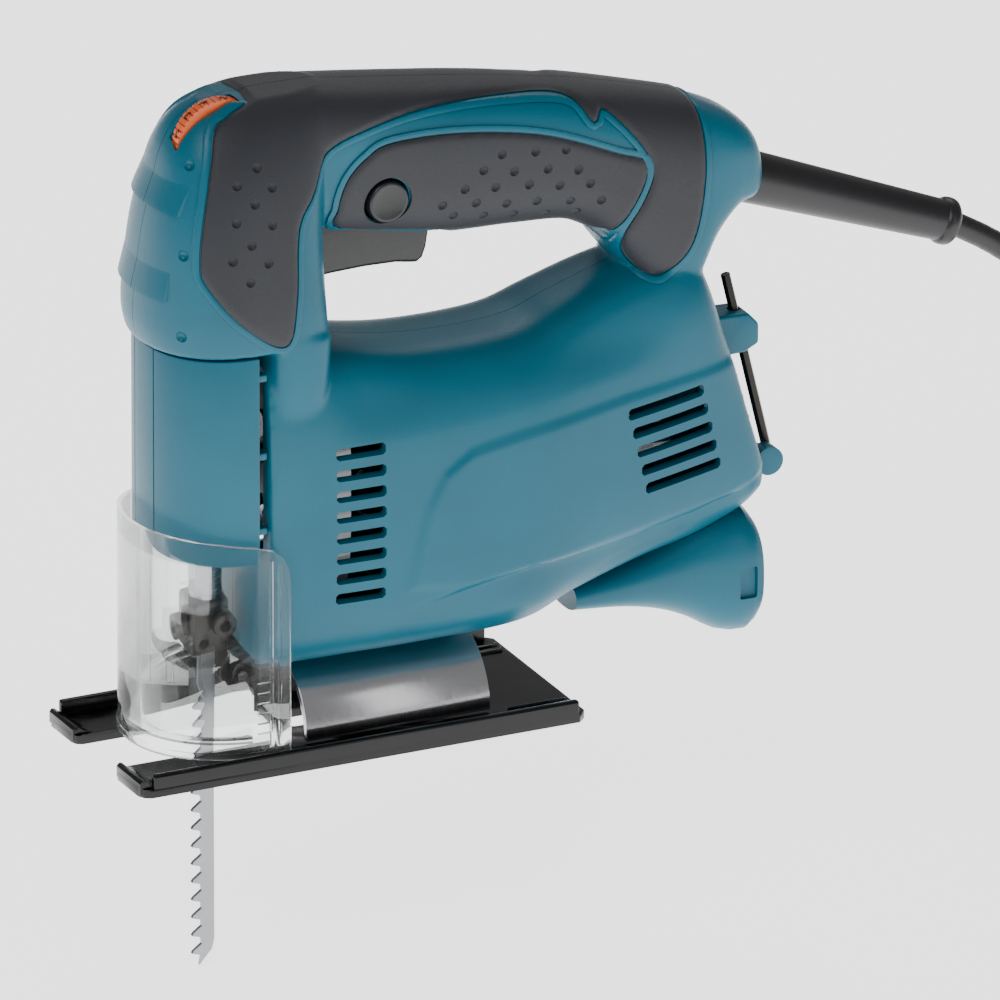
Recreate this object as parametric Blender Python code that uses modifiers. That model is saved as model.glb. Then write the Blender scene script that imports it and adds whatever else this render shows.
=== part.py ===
"""A corded top-handle jigsaw, built piece by piece.

Metres, +Z up. The blade end points along -X and the tool's left side along -Y. The origin is on the
underside of the sole, on the tool's centre line, behind the blade slot.
Lengths below are in millimetres and become metres in the helpers.
"""

import math

import bmesh
import bpy
from mathutils import Matrix, Vector

MM = 0.001
GAP = 0.3

# Blade end
BLADE_X = -60.0
BLADE_TIP_Z = -67.5
STROKE = 18.0
ROLLER_R = 5.5
ROLLER_X = BLADE_X + 3.1 + 0.4 + ROLLER_R
# Drive
MOTOR_Z = 66.0
MODULE = 1.25
PINION_TEETH = 8
GEAR_TEETH = 36
GEAR_Z = MOTOR_Z + MODULE * (PINION_TEETH + GEAR_TEETH) / 2
SHAFT_R = 3.9
BORE_R = 4.05
# Housing
WALL = 2.6
# Speed dial
DIAL_X = -57.5
DIAL_Z = 182.0
DIAL_R = 14.2
# Sole
SOLE_FRONT = -93.6
SOLE_REAR = 44.5
SOLE_HALF = 32.25
SOLE_THICK = 2.5
TILT_Z = 3.0
SADDLE_R = 20.0
BOLT_X = -14.0
SLIDE = 15.0
# Cord
FLOOR_Z = -68.0
CORD_R = 3.5
COIL_X = 268.0
COIL_COLUMNS = (28.0, 35.0, 42.0, 49.0)

for old in list(bpy.data.objects):
    bpy.data.objects.remove(old, do_unlink=True)

PARTS = bpy.data.collections.new("jigsaw")
CUTTERS = bpy.data.collections.new("cutters")
bpy.context.scene.collection.children.link(PARTS)
bpy.context.scene.collection.children.link(CUTTERS)
CUTTERS.hide_render = True

FINISHES = {
    "teal_plastic": ((0.004, 0.17, 0.26), 0.42, 0.0),
    "soft_rubber": ((0.045, 0.05, 0.063), 0.7, 0.0),
    "black_rubber": ((0.012, 0.012, 0.013), 0.6, 0.0),
    "black_plastic": ((0.018, 0.018, 0.02), 0.45, 0.0),
    "orange_plastic": ((0.83, 0.2, 0.06), 0.45, 0.0),
    "clear_plastic": ((0.85, 0.87, 0.87), 0.05, 0.0),
    "black_enamel": ((0.01, 0.01, 0.011), 0.2, 0.0),
    "bright_steel": ((0.55, 0.55, 0.56), 0.3, 1.0),
    "dark_steel": ((0.12, 0.115, 0.11), 0.4, 1.0),
    "cast_aluminium": ((0.62, 0.62, 0.61), 0.5, 1.0),
    "laminated_steel": ((0.3, 0.3, 0.31), 0.5, 1.0),
    "copper": ((0.72, 0.3, 0.13), 0.35, 1.0),
    "brass": ((0.75, 0.55, 0.25), 0.3, 1.0),
    "sintered_bronze": ((0.42, 0.27, 0.13), 0.55, 1.0),
    "carbon": ((0.03, 0.03, 0.03), 0.7, 0.0),
    "circuit_board": ((0.02, 0.16, 0.06), 0.5, 0.0),
}


def finish(name):
    material = bpy.data.materials.get(name)
    if material:
        return material
    colour, roughness, metallic = FINISHES[name]
    material = bpy.data.materials.new(name)
    material.use_nodes = True
    shader = material.node_tree.nodes["Principled BSDF"]
    shader.inputs["Base Color"].default_value = (*colour, 1)
    shader.inputs["Roughness"].default_value = roughness
    shader.inputs["Metallic"].default_value = metallic
    return material


def add(name, mesh, material, where=PARTS):
    obj = bpy.data.objects.new(name, mesh)
    where.objects.link(obj)
    if material:
        mesh.materials.append(finish(material))
        mesh.shade_smooth()
        mesh.set_sharp_from_angle(angle=math.radians(35))
    return obj


def from_bmesh(name, bm, material, where=PARTS):
    bmesh.ops.recalc_face_normals(bm, faces=bm.faces)
    mesh = bpy.data.meshes.new(name)
    bm.to_mesh(mesh)
    bm.free()
    return add(name, mesh, material, where)


def block(name, low, high, material=None, round_by=0.0, where=PARTS):
    """A box between two corners, its edges rounded if asked."""
    bm = bmesh.new()
    bmesh.ops.create_cube(bm, size=1.0)
    size = [(h - l) * MM for l, h in zip(low, high)]
    middle = [(h + l) / 2 * MM for l, h in zip(low, high)]
    bmesh.ops.scale(bm, vec=size, verts=bm.verts)
    bmesh.ops.translate(bm, vec=middle, verts=bm.verts)
    obj = from_bmesh(name, bm, material, where)
    if round_by:
        bevel = obj.modifiers.new("rounding", "BEVEL")
        bevel.width = round_by * MM
        bevel.segments = 2
    return obj


def rod(name, start, end, radius, material=None, sides=24, end_radius=None, where=PARTS):
    """A straight round bar or cone between two points."""
    start = Vector(start) * MM
    end = Vector(end) * MM
    along = end - start
    bm = bmesh.new()
    bmesh.ops.create_cone(
        bm,
        cap_ends=True,
        segments=sides,
        radius1=radius * MM,
        radius2=(radius if end_radius is None else end_radius) * MM,
        depth=along.length,
    )
    turn = Vector((0, 0, 1)).rotation_difference(along).to_matrix().to_4x4()
    bmesh.ops.transform(bm, matrix=Matrix.Translation((start + end) / 2) @ turn, verts=bm.verts)
    return from_bmesh(name, bm, material, where)


AXES = {
    "X": lambda u, v, w: (w, u, v),
    "Y": lambda u, v, w: (u, w, v),
    "Z": lambda u, v, w: (u, v, w),
}


def slab(name, outline, axis, low, high, material=None, round_by=0.0, where=PARTS):
    """A flat outline given in the plane across one axis, extruded along it from low to high."""
    place = AXES[axis]
    bm = bmesh.new()
    corners = [bm.verts.new(Vector(place(u, v, low)) * MM) for u, v in outline]
    bottom = bm.faces.new(corners)
    walls = bmesh.ops.extrude_face_region(bm, geom=[bottom])["geom"]
    raised = [part for part in walls if isinstance(part, bmesh.types.BMVert)]
    bmesh.ops.translate(bm, vec=Vector(place(0, 0, high - low)) * MM, verts=raised)
    obj = from_bmesh(name, bm, material, where)
    if round_by:
        bevel = obj.modifiers.new("rounding", "BEVEL")
        bevel.width = round_by * MM
        bevel.segments = 2
        bevel.limit_method = "ANGLE"
        bevel.angle_limit = math.radians(50)
    return obj


def oval(middle_u, middle_v, half_u, half_v, power, sides=24, front=None):
    """Points round a superellipse, squarer the higher its power. Its low-u half may have its own."""
    points = []
    for i in range(sides):
        angle = 2 * math.pi * (i + 0.5) / sides
        c, s = math.cos(angle), math.sin(angle)
        square = front if front and c < 0 else power
        u = middle_u + half_u * math.copysign(abs(c) ** (2 / square), c)
        v = middle_v + half_v * math.copysign(abs(s) ** (2 / square), s)
        points.append((u, v))
    return points


def loft(name, axis, sections, grow=0.0, material=None, where=PARTS):
    """A skin over ovals stacked along an axis: (place, low_u, high_u, low_v, high_v, powers) each."""
    bm = bmesh.new()
    last = None
    count = len(sections)
    for i, (place, low_u, high_u, low_v, high_v, *powers) in enumerate(sections):
        shift = -grow if i == 0 else grow if i == count - 1 else 0.0
        ring = []
        outline = oval(
            (low_u + high_u) / 2,
            (low_v + high_v) / 2,
            (high_u - low_u) / 2 + grow,
            (high_v - low_v) / 2 + grow,
            powers[0],
            front=powers[-1],
        )
        for u, v in outline:
            ring.append(bm.verts.new(Vector(AXES[axis](u, v, place + shift)) * MM))
        if last is None:
            bm.faces.new(ring)
        else:
            for j in range(len(ring)):
                k = (j + 1) % len(ring)
                bm.faces.new((last[j], last[k], ring[k], ring[j]))
        last = ring
    bm.faces.new(last)
    return from_bmesh(name, bm, material, where)


def combine(obj, other, operation):
    step = obj.modifiers.new(operation.lower(), "BOOLEAN")
    step.operation = operation
    step.object = other
    step.solver = "EXACT"
    if other.name not in CUTTERS.objects:
        CUTTERS.objects.link(other)
        PARTS.objects.unlink(other)
    other.hide_render = True
    other.display_type = "WIRE"
    return obj


def cut(obj, *others):
    for other in others:
        combine(obj, other, "DIFFERENCE")
    return obj


def join(obj, *others):
    for other in others:
        combine(obj, other, "UNION")
    return obj


def ring(name, axis, middle, low, high, outer, inner, material, sides=24):
    """A flat-ended ring round one axis."""
    u, v = middle
    place = AXES[axis]
    ends = place(u, v, low), place(u, v, high)
    through = place(u, v, low - 5), place(u, v, high + 5)
    body = rod(name, *ends, outer, material, sides)
    return cut(body, rod(name + "_bore", *through, inner, sides=sides, where=CUTTERS))


def carry(name, pivot, pieces):
    """An empty on a joint's axis that holds the pieces that move with it."""
    carrier = bpy.data.objects.new(name, None)
    carrier.location = Vector(pivot) * MM
    PARTS.objects.link(carrier)
    for piece in pieces:
        piece.parent = carrier
        piece.matrix_parent_inverse = Matrix.Translation(-carrier.location)
    return carrier


# ---- Housing: two halves round one moulded form -----------------------------------------------

# Along X: place, left and right side, bottom and top, squareness
BELLY = (
    (-51.0, -26.6, 26.6, 24.5, 124.5, 3.4),
    (-44.0, -27.0, 27.0, 24.5, 123.0, 3.4),
    (-28.0, -28.5, 28.5, 24.5, 119.0, 3.2),
    (0.0, -29.5, 29.5, 24.5, 114.5, 3.2),
    (30.0, -29.5, 29.5, 25.5, 114.5, 3.2),
    (47.0, -27.5, 27.5, 31.0, 119.0, 3.2),
    (70.0, -24.0, 24.0, 36.5, 126.0, 3.2),
    (86.9, -20.7, 20.7, 39.5, 127.0, 3.2),
    (95.5, -18.5, 18.5, 42.0, 108.0, 3.0),
    (103.5, -16.0, 16.0, 46.0, 80.0, 2.8),
    (109.0, -12.0, 12.0, 50.0, 63.0, 2.6),
)
# Up Z: place, front and rear, left and right side, squareness of the rear and of the front
HEAD = (
    (124.5, -79.8, -27.5, -26.8, 26.8, 4.4, 2.25),
    (131.0, -81.4, -28.0, -27.3, 27.3, 4.4, 2.25),
    (140.0, -81.0, -29.0, -27.0, 27.0, 4.2, 2.3),
    (157.0, -78.8, -29.0, -25.2, 25.2, 3.8, 2.4),
    (171.0, -75.6, -27.0, -22.6, 22.6, 3.4, 2.5),
    (182.0, -72.6, -24.0, -19.0, 19.0, 3.0, 2.5),
    (189.4, -67.8, -22.0, -14.5, 14.5, 2.7, 2.4),
    (193.9, -61.0, -26.0, -9.0, 9.0, 2.4, 2.3),
)
HANDLE = (
    (-56.0, -15.5, 15.5, 146.0, 194.2, 2.7),
    (-32.0, -16.8, 16.8, 151.0, 194.0, 2.8),
    (-19.5, -17.4, 17.4, 150.0, 192.5, 2.9),
    (8.0, -17.5, 17.5, 145.6, 188.6, 2.9),
    (32.0, -17.5, 17.5, 144.5, 184.9, 2.9),
    (50.0, -17.4, 17.4, 142.6, 181.3, 2.9),
    (61.0, -17.2, 17.2, 134.0, 178.7, 2.9),
    (74.0, -17.0, 17.0, 118.0, 175.2, 2.9),
    (85.6, -16.7, 16.7, 113.1, 171.7, 2.9),
    (94.7, -16.1, 16.1, 128.3, 168.6, 2.8),
    (102.0, -15.0, 15.0, 137.0, 164.6, 2.8),
    (107.4, -13.0, 13.0, 138.0, 159.6, 2.6),
    (109.6, -9.0, 9.0, 140.0, 153.5, 2.4),
)
OPENING = (
    (-31.5, 123.0),
    (-31.5, 149.0),
    (-28.0, 153.0),
    (8.0, 146.5),
    (40.0, 144.5),
    (55.0, 141.8),
    (60.5, 138.0),
    (60.0, 133.0),
    (53.0, 125.4),
    (44.0, 119.4),
    (36.0, 116.2),
    (-5.0, 115.8),
    (-26.0, 118.5),
)
# Louvres: front end and lower edge of each
FRONT_VENTS = [(-31.5, 87.4 - 6.23 * i) for i in range(8)]
REAR_VENTS = [(59.9 + 1.5 * i, 83.7 - 5.95 * i) for i in range(5)]
FRONT_VENT_LONG = 15.0
REAR_VENT_LONG = 25.6
VENT_HIGH = 3.0


def moulded_form(name, grow):
    """The whole outside of the housing, grown or shrunk by a distance."""
    belly = loft(name, "X", BELLY, grow, where=CUTTERS)
    head = loft(name + "_head", "Z", HEAD, grow, where=CUTTERS)
    handle = loft(name + "_handle", "X", HANDLE, grow, where=CUTTERS)
    return join(belly, head, handle)


def dial_slot():
    return rod("dial_slot", (DIAL_X, -11.8, DIAL_Z), (DIAL_X, -2.2, DIAL_Z), DIAL_R + 0.9, sides=32, where=CUTTERS)


def trigger_slot():
    return block("trigger_slot", (-32.2, -10.3, 130), (7.6, 10.3, 158.3), where=CUTTERS)


def vent(name, x, z, length, side):
    """A louvre through one side."""
    near, far = sorted((8.0 * side, 40.0 * side))
    return block(name, (x, near, z), (x + length, far, z + VENT_HIGH), where=CUTTERS)


def housing_half(side):
    """One clamshell half: side is -1 for the left and 1 for the right."""
    name = "housing_left" if side < 0 else "housing_right"
    shell = moulded_form(name, 0.0)
    CUTTERS.objects.unlink(shell)
    PARTS.objects.link(shell)
    shell.data.materials.append(finish("teal_plastic"))
    cut(shell, moulded_form(name + "_inside", -WALL))
    hole = slab(name + "_opening", OPENING, "Y", -60, 60, where=CUTTERS)
    cut(shell, hole)
    low = (-200, -GAP / 2, -100) if side < 0 else (-200, -100, -100)
    high = (300, 100, 300) if side < 0 else (300, GAP / 2, 300)
    cut(shell, block(name + "_split", low, high, where=CUTTERS))
    cut(shell, block(name + "_window", (-60, -21, 62), (-44, 21, 119), where=CUTTERS))
    cut(shell, rod(name + "_rod_way", (BLADE_X, 0, 118), (BLADE_X, 0, 132), 10.5, where=CUTTERS))
    for i, (x, z) in enumerate(FRONT_VENTS):
        cut(shell, vent(f"{name}_front_vent_{i}", x, z, FRONT_VENT_LONG, side))
    for i, (x, z) in enumerate(REAR_VENTS):
        cut(shell, vent(f"{name}_rear_vent_{i}", x, z, REAR_VENT_LONG, side))
    cut(shell, rod(name + "_bolt_way", (BOLT_X, 0, 20), (BOLT_X, 0, 30), 3.5, where=CUTTERS))
    cut(shell, trigger_slot())
    cut(shell, rod(name + "_guard_way", (99, 0, 146.5), (118, 0, 139.2), 8.3, sides=20, where=CUTTERS))
    if side < 0:
        cut(shell, dial_slot())
        cut(shell, rod("lock_way", (-10.8, -40, 161), (-10.8, -5, 161), 6.7, where=CUTTERS))
    else:
        cut(shell, rod("dial_pit", (DIAL_X, -1, DIAL_Z), (DIAL_X, 3, DIAL_Z), DIAL_R + 0.9, sides=32, where=CUTTERS))
    return shell


def front_cover():
    """The flat-fronted cover over the plunger, open at the back and below."""
    outside = [p for p in oval(-54.0, 0.0, 24.4, 26.2, 2.2, 48) if p[0] < -54.0]
    inside = [p for p in oval(-54.0, 0.0, 22.0, 23.8, 2.2, 48) if p[0] < -54.0]
    outline = [(-54.2, 26.2), *outside, (-54.2, -26.2), (-54.2, -23.8)]
    outline += [*reversed(inside), (-54.2, 23.8)]
    return slab("front_cover", outline, "Z", 62, 124.0, "teal_plastic")


HEAD_PAD = (
    (-47.0, 127.0),
    (-60.0, 135.3),
    (-69.0, 147.0),
    (-70.3, 154.0),
    (-68.0, 168.0),
    (-62.5, 187.0),
    (-57.0, 191.3),
    (-52.0, 193.2),
    (-47.0, 194.9),
    (-45.0, 197.0),
    (-44.0, 206.0),
    (60.0, 206.0),
    (86.0, 182.0),
    (88.5, 172.0),
    (88.0, 150.0),
    (84.0, 132.0),
    (75.0, 124.0),
    (67.5, 128.0),
    (64.0, 138.0),
    (72.0, 157.0),
    (59.0, 175.5),
    (54.0, 173.5),
    (47.5, 181.0),
    (27.0, 184.5),
    (2.0, 185.5),
    (-16.0, 183.4),
    (-29.0, 179.0),
    (-35.5, 169.0),
    (-41.5, 160.0),
    (-43.5, 139.0),
)
HANDLE_PAD = (
    (-22.9, 153.5),
    (-25.2, 161.0),
    (-23.0, 169.0),
    (-17.0, 175.0),
    (-9.0, 178.0),
    (12.6, 177.2),
    (38.0, 172.4),
    (60.0, 163.5),
    (70.0, 157.5),
    (62.0, 141.5),
    (55.0, 140.0),
    (20.0, 140.5),
    (8.0, 147.5),
)


def grip(name, outline, side):
    """A soft skin that follows the form over one outline on one side."""
    skin = moulded_form(name, 1.3)
    CUTTERS.objects.unlink(skin)
    PARTS.objects.link(skin)
    skin.data.materials.append(finish("soft_rubber"))
    low, high = sorted((GAP / 2 * side, 60 * side))
    keep = slab(name + "_outline", outline, "Y", low, high, where=CUTTERS)
    combine(skin, keep, "INTERSECT")
    cut(skin, moulded_form(name + "_under", GAP))
    return skin


def dust_nozzle():
    sections = (
        (52.0, -9.0, 9.0, 22.0, 30.5, 2.4),
        (68.0, -11.5, 11.5, 20.5, 35.0, 2.4),
        (80.0, -13.5, 13.5, 17.6, 40.0, 2.4),
        (89.0, -15.0, 15.0, 13.6, 44.0, 2.5),
        (96.0, -16.5, 16.5, 9.4, 46.0, 2.6),
        (104.0, -17.0, 17.0, 8.0, 46.5, 2.6),
        (107.6, -15.5, 15.5, 12.0, 42.5, 2.6),
    )
    nozzle = loft("dust_nozzle", "X", sections, material="teal_plastic")
    cut(nozzle, moulded_form("nozzle_fit", GAP))
    return cut(nozzle, rod("dust_port", (90, 0, 25.5), (118, 0, 25.5), 10.0, where=CUTTERS))


# ---- Motor and gears --------------------------------------------------------------------------


def toothed(name, teeth, low, high, material, turn=0.0, z=0.0, root=None):
    """A straight-cut gear round an axis along X."""
    pitch_r = MODULE * teeth / 2
    tip = pitch_r + 0.85 * MODULE
    foot = pitch_r - 1.15 * MODULE
    step = 2 * math.pi / teeth
    outline = []
    for i in range(teeth):
        for radius, share in ((foot, -0.27), (tip, -0.1), (tip, 0.1), (foot, 0.27)):
            wide = share * MODULE * math.pi / radius
            angle = turn + i * step + wide
            outline.append((radius * math.cos(angle), z + radius * math.sin(angle)))
    return slab(name, outline, "X", low, high, material)


def motor():
    shaft = rod("armature_shaft", (-33.5, 0, MOTOR_Z), (84, 0, MOTOR_Z), SHAFT_R, "bright_steel")
    pinion = toothed("pinion", PINION_TEETH, -43, -32.5, None, math.pi / 2, MOTOR_Z)
    join(shaft, pinion)
    at = (0, MOTOR_Z)
    core = ring("armature_core", "X", at, 2, 44, 14.9, BORE_R, "laminated_steel", 32)
    commutator = ring("commutator", "X", at, 50, 62, 11.5, BORE_R, "copper", 32)
    wheel = ring("cooling_fan", "X", at, -11, -9, 24.5, BORE_R, "black_plastic", 32)
    blades = star("fan_blades", 11, 6.0, 24.0, -19, -10.5, MOTOR_Z)
    join(wheel, cut(blades, rod("fan_bore", (-30, 0, MOTOR_Z), (0, 0, MOTOR_Z), BORE_R, where=CUTTERS)))
    return [shaft, core, commutator, wheel]


def star(name, arms, hub, tip, low, high, z):
    outline = []
    for i in range(arms):
        middle = 2 * math.pi * i / arms
        for radius, offset in ((hub, -0.18), (tip, 0.13), (tip, 0.18), (hub, 0.05)):
            angle = middle + offset
            outline.append((radius * math.cos(angle), z + radius * math.sin(angle)))
    return slab(name, outline, "X", low, high)


def arc_outline(outer, inner, start, end, z, steps=14):
    """A ring sector in the plane across X, between two angles in degrees."""
    angles = [math.radians(start + (end - start) * i / steps) for i in range(steps + 1)]
    outline = [(outer * math.cos(a), z + outer * math.sin(a)) for a in angles]
    return outline + [(inner * math.cos(a), z + inner * math.sin(a)) for a in reversed(angles)]


def motor_surrounds():
    at = (0, MOTOR_Z)
    stator = ring("stator_core", "X", at, 2, 44, 24.0, 20.6, "laminated_steel", 32)
    for i, start in enumerate((-26, 154)):
        outline = arc_outline(21.5, 15.4, start, start + 52, MOTOR_Z, 6)
        join(stator, slab(f"pole_{i}", outline, "X", 2, 44))
    slab("field_coil_top", arc_outline(20.2, 15.6, 32, 148, MOTOR_Z), "X", -3, 49, "copper")
    slab("field_coil_bottom", arc_outline(20.2, 15.6, 212, 328, MOTOR_Z), "X", -3, 49, "copper")
    ring("fan_baffle", "X", at, -7.5, -5.5, 25.5, 17.0, "black_plastic", 32)
    ring("front_bearing", "X", at, -31, -24.2, 11.0, BORE_R, "bright_steel")
    ring("rear_bearing", "X", at, 70, 76, 9.5, BORE_R, "bright_steel")
    for side, word in ((-1, "left"), (1, "right")):
        inner, outer = sorted((12.6 * side, 21.6 * side))
        holder = block(f"brush_holder_{word}", (50.5, inner, 60.5), (61.5, outer, 71.5), "brass")
        way = block(f"brush_way_{word}", (52.2, min(10 * side, 20.5 * side), 62.2),
                    (59.8, max(10 * side, 20.5 * side), 69.8), where=CUTTERS)
        cut(holder, way)
        inner, outer = sorted((11.9 * side, 19.5 * side))
        block(f"carbon_brush_{word}", (52.5, inner, 62.5), (59.5, outer, 69.5), "carbon")


def gear_case():
    """The cast plate that holds the front bearing and the gear's axle."""
    outline = oval(0, 77, 20.5, 36.5, 3.5, 28)
    case = slab("gear_case", outline, "X", -28, -23.5, "cast_aluminium")
    join(case, rod("bearing_boss", (-31.5, 0, MOTOR_Z), (-23, 0, MOTOR_Z), 13.6, where=CUTTERS))
    join(case, rod("axle_boss", (-32.6, 0, GEAR_Z), (-23, 0, GEAR_Z), 8.0, where=CUTTERS))
    cut(case, rod("bearing_seat", (-40, 0, MOTOR_Z), (-10, 0, MOTOR_Z), 11.2, where=CUTTERS))
    return cut(case, rod("axle_seat", (-40, 0, GEAR_Z), (-10, 0, GEAR_Z), 4.2, where=CUTTERS))


def drive_gear():
    half_tooth = math.pi / GEAR_TEETH
    gear = toothed("drive_gear", GEAR_TEETH, -42, -34, "dark_steel", -math.pi / 2 + half_tooth, GEAR_Z)
    cut(gear, rod("gear_bore", (-60, 0, GEAR_Z), (-20, 0, GEAR_Z), 4.2, where=CUTTERS))
    pin_z = GEAR_Z - STROKE / 2
    cut(gear, rod("crank_hole", (-60, 0, pin_z), (-20, 0, pin_z), 3.2, sides=16, where=CUTTERS))
    pin = rod("crank_pin", (-50.4, 0, pin_z), (-34.5, 0, pin_z), 2.9, "bright_steel", 16)
    rod("gear_axle", (-42.6, 0, GEAR_Z), (-23.6, 0, GEAR_Z), 4.0, "bright_steel")
    return [gear, pin]


# ---- Plunger and blade ------------------------------------------------------------------------


def plunger_set():
    plunger = rod("plunger", (BLADE_X, 0, 41.3), (BLADE_X, 0, 141), 5.0, "bright_steel")
    slot_z = GEAR_Z - STROKE / 2
    yoke = block("yoke", (-58, -15.5, slot_z - 8), (-51.6, 15.5, slot_z + 8), where=CUTTERS)
    cut(yoke, block("yoke_slot", (-55, -12.5, slot_z - 3.3), (-50, 12.5, slot_z + 3.3), where=CUTTERS))
    join(plunger, yoke)
    holder = block("blade_holder", (-66.5, -5.6, 25), (-54.5, 5.6, 41), "dark_steel", 1.2)
    cut(holder, block("shank_slot", (-64.2, -1.0, 20), (-56.3, 1.0, 37), where=CUTTERS))
    side_bolt = rod("clamp_bolt_side", (-57.4, -5.9, 35), (-57.4, -9.6, 35), 3.8, "dark_steel", 16)
    cut(side_bolt, rod("side_socket", (-57.4, -8, 35), (-57.4, -12, 35), 2.0, sides=6, where=CUTTERS))
    front_bolt = rod("clamp_bolt_front", (-66.8, 0, 33), (-70.2, 0, 33), 3.6, "dark_steel", 16)
    cut(front_bolt, rod("front_socket", (-69, 0, 33), (-73, 0, 33), 2.0, sides=6, where=CUTTERS))
    return [plunger, holder, side_bolt, front_bolt, blade()]


def blade():
    """A toothed strip, its teeth set forwards and its tip cut on a slant."""
    back = BLADE_X + 3.1
    front = BLADE_X - 2.4
    outline = [(back, 36.5), (back, -60.0), (BLADE_X - 1.6, BLADE_TIP_Z)]
    z = BLADE_TIP_Z + 3.0
    pitch = 5.4
    while z < 8.0:
        outline += [(front + 1.4, z), (BLADE_X - 3.9, z + 0.9), (front + 1.4, z + 3.2)]
        z += pitch
    outline += [(front, 14.0), (front, 36.5)]
    return slab("blade", outline, "Y", -0.6, 0.6, "bright_steel")


def guides():
    """What guides the plunger and the blade, fixed to the gear case."""
    at = (BLADE_X, 0)
    ring("lower_bush", "Z", at, 60.2, 69.8, 8.4, 5.15, "sintered_bronze")
    ring("upper_bush", "Z", at, 126, 136, 8.4, 5.15, "sintered_bronze")
    wheel = ring("blade_roller", "Y", (ROLLER_X, 17.0), -3.3, 3.3, ROLLER_R, 1.75, "dark_steel")
    rod("roller_pin", (ROLLER_X, -7.4, 17), (ROLLER_X, 7.4, 17), 1.6, "bright_steel", 16)
    shape = ((-54.5, 12.5), (-52.5, 20.5), (-46, 23), (-42.8, 24.1), (-38.6, 24.1), (-38.6, 15), (-46, 11.4))
    bracket = slab("roller_bracket", shape, "Y", -6.4, 6.4, "dark_steel")
    cut(bracket, block("roller_room", (-60, -3.9, 0), (-44.4, 3.9, 30), where=CUTTERS))
    cut(bracket, rod("pin_way", (ROLLER_X, -20, 17), (ROLLER_X, 20, 17), 1.8, sides=16, where=CUTTERS))
    return [wheel]


def chip_cover():
    """The clear guard that wraps the front of the column and slides up it."""
    outside = [p for p in oval(-50.0, 0.0, 33.3, 28.8, 2.2, 48) if p[0] < -50.0]
    inside = [p for p in oval(-50.0, 0.0, 31.8, 27.3, 2.2, 48) if p[0] < -50.0]
    outline = [(-46.0, 28.8), *outside, (-46.0, -28.8), (-46.0, -27.3)]
    outline += [*reversed(inside), (-46.0, 27.3)]
    cover = slab("chip_cover", outline, "Z", 5, 70.5, "clear_plastic")
    slope = ((-53.0, 76.0), (-45.0, 76.0), (-45.0, 57.0), (-48.0, 64.0))
    return cut(cover, slab("cover_corner", slope, "Y", -60, 60, where=CUTTERS))


# ---- Sole -------------------------------------------------------------------------------------


def sole_set():
    """A pressed steel sole with turned-up edges, and the half-round saddle it tilts on."""
    outline = [
        (SOLE_FRONT, 14.5), (SOLE_FRONT + 2, 12.7), (-38.0, 12.7), (-38.0, -12.7),
        (SOLE_FRONT + 2, -12.7), (SOLE_FRONT, -14.5), (SOLE_FRONT, -29.0), (-90.5, -SOLE_HALF),
        (SOLE_REAR, -SOLE_HALF), (SOLE_REAR, SOLE_HALF), (-90.5, SOLE_HALF), (SOLE_FRONT, 29.0),
    ]
    sole = slab("sole_plate", outline, "Z", 0, SOLE_THICK, "black_enamel")
    for side, word in ((-1, "left"), (1, "right")):
        edge = sorted((29.7 * side, SOLE_HALF * side))
        join(sole, block(f"rim_{word}", (-88, edge[0], 0.5), (SOLE_REAR - 0.5, edge[1], 6.5), where=CUTTERS))
        lip = sorted((15.0 * side, 28.5 * side))
        join(sole, block(f"lip_{word}", (SOLE_FRONT + 0.3, lip[0], 0.5), (-91.4, lip[1], 4.6), where=CUTTERS))
    cut(sole, block("key_way", (BOLT_X - SLIDE - 6.5, -6, -5), (BOLT_X + 6.5, 6, 10), where=CUTTERS))
    saddle = slab("tilt_saddle", arc_outline(SADDLE_R, SADDLE_R - 2.2, 0, 180, TILT_Z + 0.2, 20), "X",
                  -37, 20, "bright_steel")
    low_x, high_x = BOLT_X - SLIDE - 3.6, BOLT_X + 3.6
    wide = arc_outline(SADDLE_R + 5, SADDLE_R - 8, 30, 103, TILT_Z, 8)
    cut(saddle, slab("bolt_room", wide, "X", low_x, high_x, where=CUTTERS))
    shoe = slab("clamp_shoe", arc_outline(SADDLE_R - 2.6, SADDLE_R - 4.6, 68, 112, TILT_Z, 8), "X",
                low_x - 4, high_x + 4, "dark_steel")
    cut(shoe, block("shoe_slot", (low_x, -3.5, 0), (high_x, 3.5, 40), where=CUTTERS))
    bolt = rod("sole_bolt", (BOLT_X, 0, 16), (BOLT_X, 0, 38), 3.0, "dark_steel", 16)
    join(bolt, rod("bolt_head", (BOLT_X, 0, 11.5), (BOLT_X, 0, 16.6), 5.3, sides=16, where=CUTTERS))
    cut(bolt, rod("bolt_socket", (BOLT_X, 0, 5), (BOLT_X, 0, 14.5), 2.6, sides=6, where=CUTTERS))
    return [sole, saddle], [shoe]


# ---- Switch, dial and other controls ----------------------------------------------------------


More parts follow.
